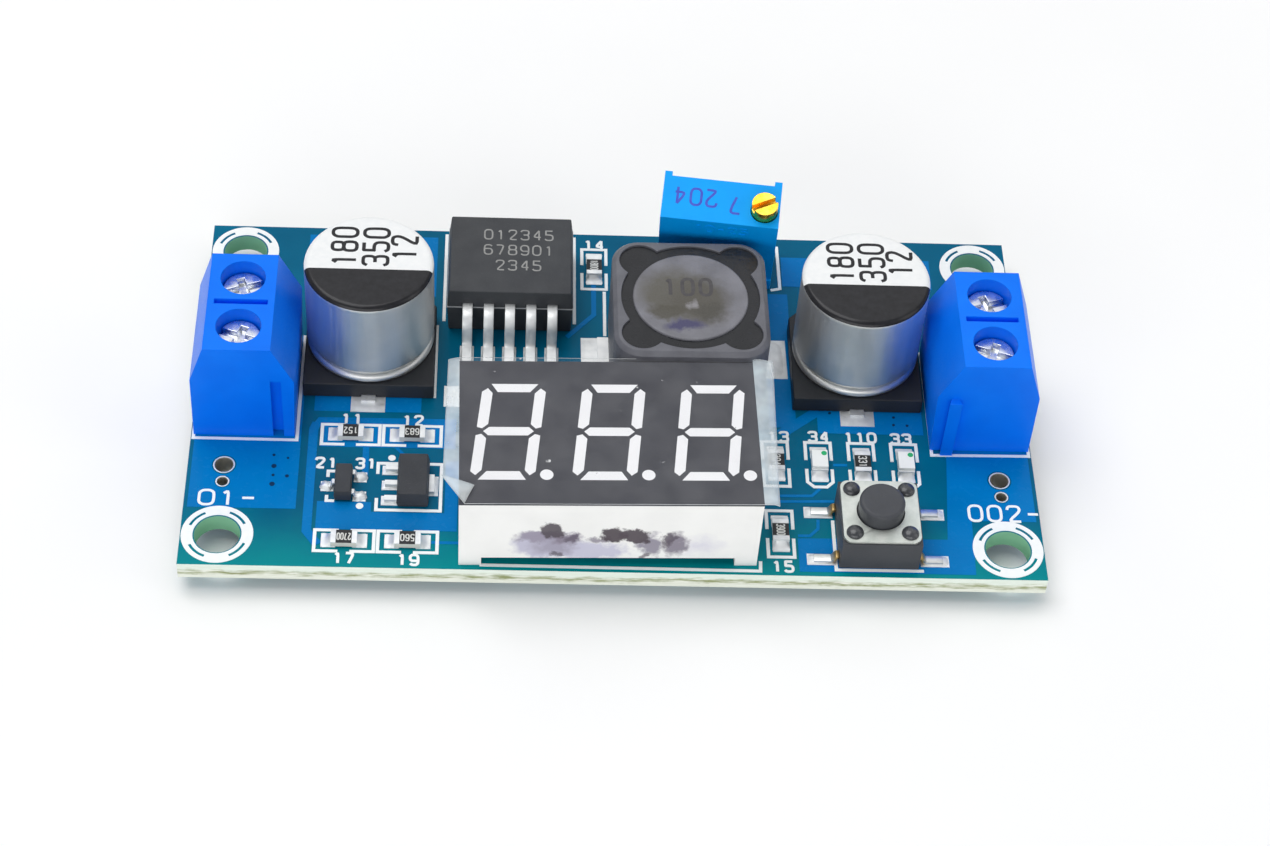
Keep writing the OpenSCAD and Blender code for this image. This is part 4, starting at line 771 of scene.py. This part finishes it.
# Each track: its width and its bends
TRACKS = [
    (0.72, [(-23.3, -3.55), (-23.52, -4.2), (-23.5, -14.3), (-22.6, -15.6)]),
    (0.5, [(-19.35, -5.8), (-19.3, -8.7)]),
    (0.9, [(16.3, -1.2), (13.2, -3.7)]),
    (0.4, [(-1.5, 12.3), (-1.5, 8.6), (-3.7, 6.1)]),
    (0.25, [(12.85, -9.96), (15.35, -9.9), (16.02, -9.18)]),
    (0.25, [(12.82, -10.52), (17.03, -10.41)]),
    (0.25, [(15.68, -12.26), (15.63, -13.14), (14.97, -13.84), (14.04, -13.86)]),
    (0.25, [(-17.3, -5.6), (-16.4, -6.6), (-16.4, -7.2)]),
    (0.25, [(17.2, -6.75), (18.3, -6.75)]),
    (0.25, [(-14.0, -15.2), (-11.0, -15.2)]),
]


def copper_areas():
    """Wide copper fields and the narrow tracks between the parts."""
    bm = bmesh.new()
    top = seat(0, 0, BOARD_TOP)
    output_field = [(26.2, 5.6), (26.2, -6.0), (25.6, -13.95), (14.0, -14.1), (14.0, -17.3), (27.5, -17.3)]
    output_field += [(27.65, -12.05), (FIELD_EDGE, -12.05), (FIELD_EDGE, 5.6)]
    for side, outline in ((-1, rectangle(-FIELD_EDGE, -12.2, -24.45, 5.6)), (1, output_field)):
        x = side * CORNER_X
        slab(bm, outline, top, COPPER_RISE, [circle(x, WIRE_HOLE_Y, 1.9), circle(x, TEST_HOLE_Y, 1.2)])
    input_pour = [(-22.85, -14.1), (-12.1, -14.1), (-12.1, -7.2), (-13.1, -7.2), (-13.1, -12.35)]
    input_pour += [(-18.7, -12.35), (-18.7, -11.4), (-22.85, -11.4)]
    first_pour = [(-22.9, -5.95), (-12.4, -5.95), (-12.4, -2.9), (-23.2, -2.97), (-23.6, -3.7), (-22.9, -3.9)]
    for outline in (*(rectangle(*sides) for sides in COPPER_RECTANGLES), input_pour, first_pour):
        slab(bm, outline, top, COPPER_RISE)
    for width, line in TRACKS:
        strip(bm, line, width, top, TRACK_RISE)
    piece("copper_areas_under_mask", bm, COPPER_MASK)


copper_areas()

# Silkscreen

LINE = 0.26
OUTLINE_ALONG, OUTLINE_ACROSS, OUTLINE_GAP, OUTLINE_BEVEL = 2.25, 1.0, 0.45, 0.5

# Each chip: turn of its length, its own plain number, and where that lies from the chip's middle
CHIP_MARKS = {
    "resistor_1": (0, "11", (0.0, 1.62)),
    "resistor_2": (0, "12", (0.0, 1.57)),
    "resistor_7": (0, "17", (0.05, -1.65)),
    "resistor_9": (0, "19", (0.1, -1.7)),
    "resistor_4": (90, "14", (0.0, 2.77)),
    "resistor_3": (90, "13", (0.3, 2.78)),
    "resistor_5": (90, "15", (0.05, -3.15)),
    "resistor_10": (90, "110", (0.03, 2.85)),
    "input_led": (90, "34", (0.1, 2.86)),
    "output_led": (90, "33", (-0.15, 2.8)),
}

# Bends of the printed lines round the larger parts
PRINTED_LINES = [
    [(-32.8, 5.3), (-32.8, -5.35), (-24.77, -5.37), (-24.75, 5.6)],
    [(25.05, 5.3), (25.08, -5.54), (32.8, -5.45), (32.8, 5.3)],
    [(-14.2, -0.72), (-14.2, 7.05)],
    [(-13.68, 7.52), (-13.68, 17.3)],
    [(-3.09, 7.52), (-3.09, 17.3)],
    [(-0.62, 6.3), (-0.62, 11.2)],
    [(13.15, 11.82), (13.93, 12.01), (13.87, 16.83)],
    [(16.8, -12.3), (16.8, -17.08), (23.5, -17.05)],
    [(-10.3, -17.25), (11.0, -17.33), (11.04, -16.4)],
    [(-18.33, -8.6), (-18.33, -7.54), (-13.42, -7.54), (-13.42, -12.15), (-18.33, -12.15), (-18.33, -11.0)],
    [(-22.15, -9.0), (-22.15, -8.42), (-21.55, -8.42)],
    [(-22.15, -10.8), (-22.15, -11.35), (-21.55, -11.35)],
]

# Rings round the corner holes: outer and inner diameter, and the slits' radii, middles and half angle
RING_OUTER, RING_INNER = 5.46, 3.7
SLIT_OUTER, SLIT_INNER = 2.36, 2.14
SLIT_MIDDLES, SLIT_HALF = (48, 138, 228, 318), 21


def chip_outline(bm, node, turn):
    """Two brackets round a chip, open in the middle of its long sides, with cut corners for a diode."""
    place = over(node, turn, level=BOARD_TOP)
    for side, bevel in ((-1, OUTLINE_BEVEL if node.endswith("led") else 0.0), (1, 0.0)):
        end = side * OUTLINE_ALONG
        corner = end - side * bevel
        bracket = [(side * OUTLINE_GAP, OUTLINE_ACROSS), (corner, OUTLINE_ACROSS)]
        if bevel:
            bracket += [(end, OUTLINE_ACROSS - bevel), (end, bevel - OUTLINE_ACROSS)]
        bracket += [(corner, -OUTLINE_ACROSS), (side * OUTLINE_GAP, -OUTLINE_ACROSS)]
        strip(bm, bracket, LINE, place, INK_RISE)


def silkscreen():
    """White outlines, hole rings and plain numbers printed on the board."""
    bm = bmesh.new()
    top = seat(0, 0, BOARD_TOP)
    for node, (turn, number, away) in CHIP_MARKS.items():
        chip_outline(bm, node, turn)
        middle = centre_of(node)
        figures(bm, number, top, BOARD_FIGURES, (middle.x + away[0], middle.y + away[1]), 0.95)
    figures(bm, "21", top, BOARD_FIGURES, (-22.35, -7.6))
    figures(bm, "31", top, BOARD_FIGURES, (-19.3, -7.6), 0.9)
    figures(bm, "01-", top, INPUT_FIGURES, (-29.7, -11.25), 1.2)
    figures(bm, "002-", top, OUTPUT_FIGURES, (30.25, -11.3))
    for sx, sy in CORNERS:
        x, y = sx * CORNER_X, sy * CORNER_Y
        openings = [circle(x, y, RING_INNER)]
        for slit in SLIT_MIDDLES:
            outer_rim = arc(x, y, SLIT_OUTER, slit - SLIT_HALF, slit + SLIT_HALF, 10)
            openings.append(outer_rim + arc(x, y, SLIT_INNER, slit + SLIT_HALF, slit - SLIT_HALF, 10))
        slab(bm, circle(x, y, RING_OUTER, 64), top, INK_RISE, openings)
    for line in PRINTED_LINES:
        strip(bm, line, LINE, top, INK_RISE)
    for x, y in ((-17.3, -6.98), (-19.59, -11.81)):
        slab(bm, circle(x, y, 0.58, 20), top, INK_RISE)
    slab(bm, rectangle(-13.45, -1.6, -12.2, 0.55), top, INK_RISE)
    piece("silkscreen_print", bm, WHITE_INK)


silkscreen()

# Small through holes: place and bore
VIAS = [
    (-26.43, -6.93, 0.24),
    (-25.33, -7.2, 0.2),
    (-26.36, -8.03, 0.4),
    (-26.37, -8.93, 0.24),
    (-25.3, -9.0, 0.3),
    (-26.39, -9.82, 0.42),
    (17.23, -1.41, 0.24),
    (22.34, -1.72, 0.24),
    (22.28, -2.51, 0.24),
    (23.36, -2.55, 0.24),
]


def plated_holes():
    """Tinned rims round the wire holes, the barrels inside them in tin darkened as painted shade of the
    holes, and small vias filled with mask.
    """
    rims, barrels, vias = bmesh.new(), bmesh.new(), bmesh.new()
    top = seat(0, 0, BOARD_TOP)
    bottom = seat(0, 0, BOARD_LOW.z)
    rim_wider, barrel_narrower = 0.16, 0.08
    for side in (-1, 1):
        for y, bore in ((WIRE_HOLE_Y, 1.5), (TEST_HOLE_Y, 0.9)):
            x = side * CORNER_X
            hole = circle(x, y, bore)
            slab(rims, circle(x, y, bore + rim_wider), top, INK_RISE, [hole])
            slab(barrels, hole, bottom, BOARD_TOP - BOARD_LOW.z, [circle(x, y, bore - barrel_narrower)])
    for x, y, bore in VIAS:
        slab(vias, circle(x, y, bore, 20), top, INK_RISE)
    piece("plated_hole_rims", rims, TINNED_PADS)
    piece("plated_hole_barrels", barrels, BARREL_TIN_DARKENED_AS_PAINTED_SHADE)
    piece("mask_filled_vias", vias, VIA_MASK)


plated_holes()

# Solder

# Half length of a chip, and width, height and reach of the solder at its ends
CHIP_HALF = 1.0
WEDGE = (1.25, 0.42, 0.62)

# Length, width and height of a pool round a foot, and the foot from the lead's tip or the edge of the base
LEAD_POOL, LEAD_FOOT, LEAD_PITCH = (1.05, 2.9, 0.22), 1.25, 1.7
CAN_POOL, CAN_FOOT = (2.6, 1.8, 0.06), 0.6

# Each other part with its pools' length, width and height, and their places from its middle with their turn
FEET = [
    ("switch_base", (1.8, 1.0, 0.2), [(4.5 * sx, 2.275 * sy, 0.0) for sx, sy in CORNERS]),
    ("inductor_terminals", (2.0, 3.8, 0.1), [(x, 0.0, INDUCTOR_YAW) for x in (-7.0, 7.0)]),
    ("three_lead_chip", (1.0, 0.9, 0.3), [(-1.3, 0.0, -23.4), (1.3, 0.95, 23.4), (1.3, -0.95, 23.4)]),
    ("supply_transistor", (1.2, 0.75, 0.12), [(-1.8, y, 0.0) for y in (-1.5, 0.0, 1.5)]),
    ("supply_transistor", (0.7, 1.8, 0.2), [(1.6, 0.0, 0.0)]),
]


def solder_fillets():
    """Solder on the chips' ends and round the feet of the leads."""
    bm = bmesh.new()
    for node, marks in CHIP_MARKS.items():
        for turn in (marks[0], marks[0] + 180):
            angle = math.radians(turn)
            x, y = CHIP_HALF * math.cos(angle), CHIP_HALF * math.sin(angle)
            solder_wedge(bm, over(node, turn, x, y, PAD_TOP), *WEDGE)
    feet_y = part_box("regulator_leadframe")[0].y / MM
    for column in range(-2, 3):
        x = centre_of("regulator_body").x + column * LEAD_PITCH
        solder_pool(bm, seat(x, feet_y + LEAD_FOOT, PAD_TOP), *LEAD_POOL)
    for base in both("capacitor_base"):
        base_low, base_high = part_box(base)
        for y in (base_low.y / MM - CAN_FOOT, base_high.y / MM + CAN_FOOT):
            solder_pool(bm, seat(centre_of(base).x, y, PAD_TOP), *CAN_POOL)
    for node, size, spots in FEET:
        for x, y, turn in spots:
            solder_pool(bm, over(node, turn, x, y, PAD_TOP), *size)
    piece("solder_fillets", bm, SOLDER, smooth=True)


solder_fillets()

# Prints on the parts

CAN_EDGE = 0.5
LACQUER_RISE, MOON_RISE = 0.008, 0.016
MOON_CHORD = -0.85


def can_skin(place, radius, lift):
    """The flat top of a can and most of its rounded rim as one thin shell, raised a little."""
    bm = bmesh.new()
    flat = radius - CAN_EDGE
    profile = [(flat * share / 5, lift) for share in range(1, 6)]
    for angle in (75, 60, 45, 30, 20):
        c, s = math.cos(math.radians(angle)), math.sin(math.radians(angle))
        profile.append((flat + (CAN_EDGE + lift) * c, (CAN_EDGE + lift) * s - CAN_EDGE))
    rings = [corners(bm, place, circle(0, 0, 2 * reach, 96), level) for reach, level in profile]
    capped(bm, rings, place, lift)
    return bm


def capacitor_prints():
    """White lacquered tops with a black half moon towards the display and plain numbers across."""
    for end in ENDS:
        low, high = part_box(f"{end}_capacitor_can")
        radius = (high.x - low.x) / (2 * MM)
        place = over(f"{end}_capacitor_can")
        lacquer = can_skin(place, radius, LACQUER_RISE)
        piece(f"{end}_can_lacquer", lacquer, CAN_WHITE, smooth=True)
        moon = can_skin(place, radius, MOON_RISE)
        cut(moon, place @ Vector((0.0, MOON_CHORD, 0.0)), (0, 1, 0))
        piece(f"{end}_can_half_moon", moon, BLACK_INK, smooth=True)
        numbers = bmesh.new()
        side = place @ Matrix.Rotation(math.radians(90), 4, "Z")
        for row, text in ((-1.95, "180"), (0.5, "350"), (2.7, "12")):
            figures(numbers, text, side, CAN_FIGURES, (1.55, -row), 0.75, 1.7)
        piece(f"{end}_can_numbers", numbers, BLACK_INK)


capacitor_prints()

# Place of the screw and height of the top in the trimmer's own frame, and the moulded row's place below it
TRIMMER_SCREW = (3.475, 1.5, 10.6)
TRIMMER_TOP, TRIMMER_ROW_BELOW = 10.03, 1.1


def trimmer_frame():
    """The trimmer's leaning frame, from the axes of its two joints and its screw's place in that frame."""
    joints = {joint["name"]: joint for joint in frame["joints"]}
    up = Vector(joints["trimmer_screw_turn"]["axis"])
    back = Vector(joints["trimmer_wheel_turn"]["axis"])
    right = back.cross(up)
    turn = Matrix((right, back, up)).transposed()
    origin = Vector(joints["trimmer_screw_turn"]["pos_m"]) / MM - turn @ Vector(TRIMMER_SCREW)
    return Matrix.Scale(MM, 4) @ Matrix.Translation(origin) @ turn.to_4x4()


def trimmer_marks():
    """Plain violet figures stamped upside down on the trimmer's top, and small moulded ones on its front."""
    own = trimmer_frame()
    stamp = bmesh.new()
    place = own @ Matrix.Translation((0, 0, TRIMMER_TOP)) @ Matrix.Rotation(math.pi, 4, "Z")
    figures(stamp, "204", place, STAMPED_FIGURES, (2.05, -2.15), 0.85, 1.6)
    figures(stamp, "7", place, STAMPED_FIGURES, (-1.1, -1.75), 0.85)
    piece("trimmer_stamp", stamp, STAMP_INK)
    raised = bmesh.new()
    row = TRIMMER_TOP - TRIMMER_ROW_BELOW
    front = own @ Matrix.Translation((0, 0, row)) @ Matrix.Rotation(math.pi / 2, 4, "X")
    figures(raised, "10-25", front, MOULDED_FIGURES, (0.2, 0.0))
    piece("trimmer_moulded_figures", raised, TRIMMER_BLUE)


trimmer_marks()


def part_numbers():
    """Plain numbers on the chip resistors, the regulator and the drum core."""
    chips = bmesh.new()
    counts = ("152", "331", "683", "204", "1800", "3900", "2700", "560")
    for node, text in zip(RESISTORS, counts):
        place = over(node, CHIP_MARKS[node][0] + 180)
        squeeze, gap = (0.45, 1.0) if len(text) > 3 else (0.62, 1.35)
        figures(chips, text, place, CHIP_FIGURES, (0.0, 0.0), squeeze, gap)
    piece("chip_numbers", chips, CHIP_INK)
    mark = bmesh.new()
    place = over("regulator_body")
    for row, text in ((2.2, "012345"), (0.5, "678901"), (-1.2, "2345")):
        figures(mark, text, place, LASER_FIGURES, (0.6, row), 0.9)
    piece("regulator_mark", mark, LASER_MARK)
    stamp = bmesh.new()
    figures(stamp, "100", over("inductor_drum_core", INDUCTOR_YAW), DRUM_FIGURES, (-0.2, 1.0), 0.75)
    piece("inductor_stamp", stamp, FAINT_INK)


part_numbers()


def regulator_flash():
    """The thin flash of epoxy left round the regulator where the two halves of its mould met."""
    bm = bmesh.new()
    low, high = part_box("regulator_body")
    half_x, half_y = (high.x - low.x) / (2 * MM), (high.y - low.y) / (2 * MM)
    parting = low.z / MM + 2.72
    proud, sunk, thick = 0.03, 0.1, 0.09
    outline = rectangle(-half_x - proud, -half_y - proud, half_x + proud, half_y + proud)
    inside = rectangle(-half_x + sunk, -half_y + sunk, half_x - sunk, half_y - sunk)
    slab(bm, outline, over("regulator_body", level=parting), thick, [inside])
    piece("regulator_mould_flash", bm, FLASH_LINE)


regulator_flash()


def led_marks():
    """A small green corner mark on each indicator diode."""
    bm = bmesh.new()
    mark_d, mark_rise = 0.44, 0.012
    for led in both("led"):
        slab(bm, circle(0, 0, mark_d, 20), over(led, x=0.34, y=0.5), mark_rise)
    piece("led_marks", bm, LED_GREEN)


led_marks()


def switch_rivet_heads():
    """The four studs of the switch base, melted over its cover plate into low domes."""
    bm = bmesh.new()
    cone_h, stud_away, dome_r, dome_h = 0.32, 2.1, 0.67, 0.43
    rings = 8
    level = top_of("switch_base") - cone_h
    for sx, sy in CORNERS:
        place = over("switch_base", 0.0, sx * stud_away, sy * stud_away, level)
        loops = []
        for i in range(rings):
            lean = math.radians(90 * i / rings)
            rim = circle(0, 0, 2 * dome_r * math.cos(lean), 24)
            loops.append(corners(bm, place, rim, dome_h * math.sin(lean)))
        capped(bm, loops[::-1], place, dome_h)
    piece("switch_rivet_heads", bm, RIVET_BLACK, smooth=True)


switch_rivet_heads()

# The display's half width and half depth, and the film's reach over its back and its thickness
FILM_HALF_W, FILM_HALF_D, FILM_BACK_OVER, FILM_T = 11.3, 7.025, 0.3, 0.05

# How far the film hangs over each end, at its front and at its back
OVERHANG = {-1: (1.3, 0.85), 1: (1.15, 1.6)}

# Length of the folded corner along the left edge and along the front edge
FOLD_BACK, FOLD_SIDE = 2.7, 1.7

# Lift of the film off the face, height of its ripples and curls, and its droop at the ends
FILM_LIFT, RIPPLE, CURL, DROOP = 0.05, 0.03, 0.35, 0.2

# Ripples and curls in a millimetre, and the layer of the pattern that each is drawn from
RIPPLE_PACE, CURL_PACE = 0.45, 0.35
RIPPLE_LAYER, CURL_LAYER = 3.0, 8.0

# The folded corner: lift at its fold, rise to its tip and how much the rise bends over
FLAP_LIFT, FLAP_RISE, FLAP_BEND = 0.08, 0.45, 0.4


def film_sheet(bm, front, back):
    """The waves of the film: faint where it lies on the face, with a curl where it hangs free."""
    rows, columns, end_columns = 40, 60, 6
    shares = [(-1, 1 - i / end_columns) for i in range(end_columns)]
    shares += [(0, 2 * i / columns - 1) for i in range(columns + 1)]
    shares += [(1, i / end_columns) for i in range(1, end_columns + 1)]
    grid = []
    for side, share in shares:
        line = []
        for j in range(rows + 1):
            y = front + (back - front) * j / rows
            x = FILM_HALF_W * share
            loose = 0.0
            if side:
                at_front, at_back = OVERHANG[side]
                loose = share
                x = side * (FILM_HALF_W + share * (at_front + (at_back - at_front) * j / rows))
            ripple = RIPPLE * noise.noise((x * RIPPLE_PACE, y * RIPPLE_PACE, RIPPLE_LAYER))
            curl = loose * loose * (CURL * noise.noise((y * CURL_PACE, x, CURL_LAYER)) - DROOP)
            line.append(bm.verts.new((x, y, FILM_LIFT + ripple + curl)))
        grid.append(line)
    for quad in skinned(bm, grid):
        quad.material_index = 1 if abs(quad.calc_center_median().x) > FILM_HALF_W else 0


def film_flap(bm, fold_a, fold_b, tip):
    """The folded corner, which rises from its fold to its tip."""
    steps = 8
    flap = []
    for i in range(steps + 1):
        u = i / steps
        row = []
        for j in range(steps + 1 - i):
            v = j / steps
            spot = fold_a * (1 - u - v) + fold_b * v + tip * u
            row.append(bm.verts.new((spot.x, spot.y, FLAP_LIFT + FLAP_RISE * u * (1 - FLAP_BEND * u))))
        flap.append(row)
    for a, b in zip(flap, flap[1:]):
        for j in range(len(b)):
            bm.faces.new((a[j], a[j + 1], b[j])).material_index = 1
            if j + 1 < len(b):
                bm.faces.new((a[j + 1], b[j + 1], b[j])).material_index = 1


def display_film():
    """The clear film on the display: nearly flat, loose at both ends, with one corner folded back."""
    bm = bmesh.new()
    left, front = -FILM_HALF_W - OVERHANG[-1][0], -FILM_HALF_D
    film_sheet(bm, front, FILM_HALF_D + FILM_BACK_OVER)
    corner = Vector((left, front, 0.0))
    fold_a = Vector((left, front + FOLD_BACK, 0.0))
    fold_b = Vector((left + FOLD_SIDE, front, 0.0))
    along = (fold_b - fold_a).normalized()
    outward = Vector((along.y, -along.x, 0.0))
    cut(bm, fold_a, outward)
    film_flap(bm, fold_a, fold_b, corner - 2 * (corner - fold_a).dot(outward) * outward)
    place = over("display_case", DISPLAY_YAW, level=top_of("display_face"))
    bmesh.ops.transform(bm, matrix=place, verts=bm.verts)
    sheet = piece("wavy_display_film", bm, FLAT_FILM, smooth=True, stands_for=("display_film",))
    sheet.data.materials.append(LOOSE_FILM)
    sheet.data.materials.append(FILM_EDGE_PAINTED_HIGHLIGHT)
    body = sheet.modifiers.new("film_thickness", "SOLIDIFY")
    body.thickness = FILM_T * MM
    body.offset = 0.0
    # The rim faces of the film take the pale edge finish: a painted highlight along its edges
    body.material_offset_rim = 2


display_film()

# Stage: floor, light and camera

STAGE_HALF = 1.5
FLOOR_LIFT = 0.04
ROOM_LIGHT = 0.32


def studio_floor():
    """A plain pale sheet under the module, which the camera and bright metal see as white."""
    bm = bmesh.new()
    bmesh.ops.create_grid(bm, x_segments=4, y_segments=4, size=STAGE_HALF)
    floor = shown("studio_floor", bm)
    look = Look("pale_studio_paper", {"Roughness": 0.9, "IOR": 1.3, "Emission Color": linear("#ffffff")})
    clouded(look, "#f5f5f5", "#f7f7f7", 40.0)
    path = add(look, "ShaderNodeLightPath").outputs
    seen = path["Is Camera Ray"]
    for ray in ("Is Glossy Ray", "Is Transmission Ray"):
        seen = add(look, MATH, None, {0: seen, 1: path[ray]}, operation="MAXIMUM")
    feed(look, "Emission Strength", add(look, MATH, {1: FLOOR_LIFT}, {0: seen}, operation="MULTIPLY"))
    floor.data.materials.append(look.material)


studio_floor()

# Each softbox: where it hangs, its width and height, and its power in watts
SOFTBOXES = {
    "back_softbox": ((0.03, 0.5, 0.6), (1.5, 0.8), 2.7),
    "top_softbox": ((-0.25, 0.1, 0.8), (0.6, 0.6), 3.2),
    "front_softbox": ((-0.15, -0.65, 0.3), (0.9, 0.35), 2.2),
    "right_softbox": ((0.6, -0.15, 0.35), (0.3, 0.5), 0.6),
}
for name, (spot, size, power) in SOFTBOXES.items():
    lamp = bpy.data.lights.new(name, "AREA")
    lamp.shape = "RECTANGLE"
    lamp.size, lamp.size_y = size
    lamp.energy = power
    holder = bpy.data.objects.new(name, lamp)
    holder.location = spot
    holder.rotation_mode = "QUATERNION"
    holder.rotation_quaternion = Vector(spot).to_track_quat("Z", "Y")
    bpy.context.scene.collection.objects.link(holder)

world = bpy.data.worlds.new("studio_room")
world.use_nodes = True
bpy.context.scene.world = world
room = world.node_tree.nodes["Background"]
room.inputs["Color"].default_value = linear("#f4f6f8")
room.inputs["Strength"].default_value = ROOM_LIGHT

# The camera stands where the photograph was taken from, with these three directions
CAMERA_PLACE = Vector((-9.4649, -145.3286, 171.0029))
CAMERA_RIGHT = Vector((0.99848, -0.01604, 0.05270))
CAMERA_UP = Vector((-0.02182, 0.76321, 0.64578))
CAMERA_FORWARD = Vector((0.05058, 0.64595, -0.76170))
camera_data = bpy.data.cameras.new("photo_camera")
camera_data.lens = 79.08
camera_data.sensor_width = 36.0
camera_data.clip_start = 0.005
camera = bpy.data.objects.new("photo_camera", camera_data)
turn = Matrix((CAMERA_RIGHT, CAMERA_UP, -CAMERA_FORWARD)).transposed().to_4x4()
camera.matrix_world = Matrix.Translation(CAMERA_PLACE * MM) @ turn
bpy.context.scene.collection.objects.link(camera)
bpy.context.scene.camera = camera
bpy.context.scene.view_settings.view_transform = "Standard"
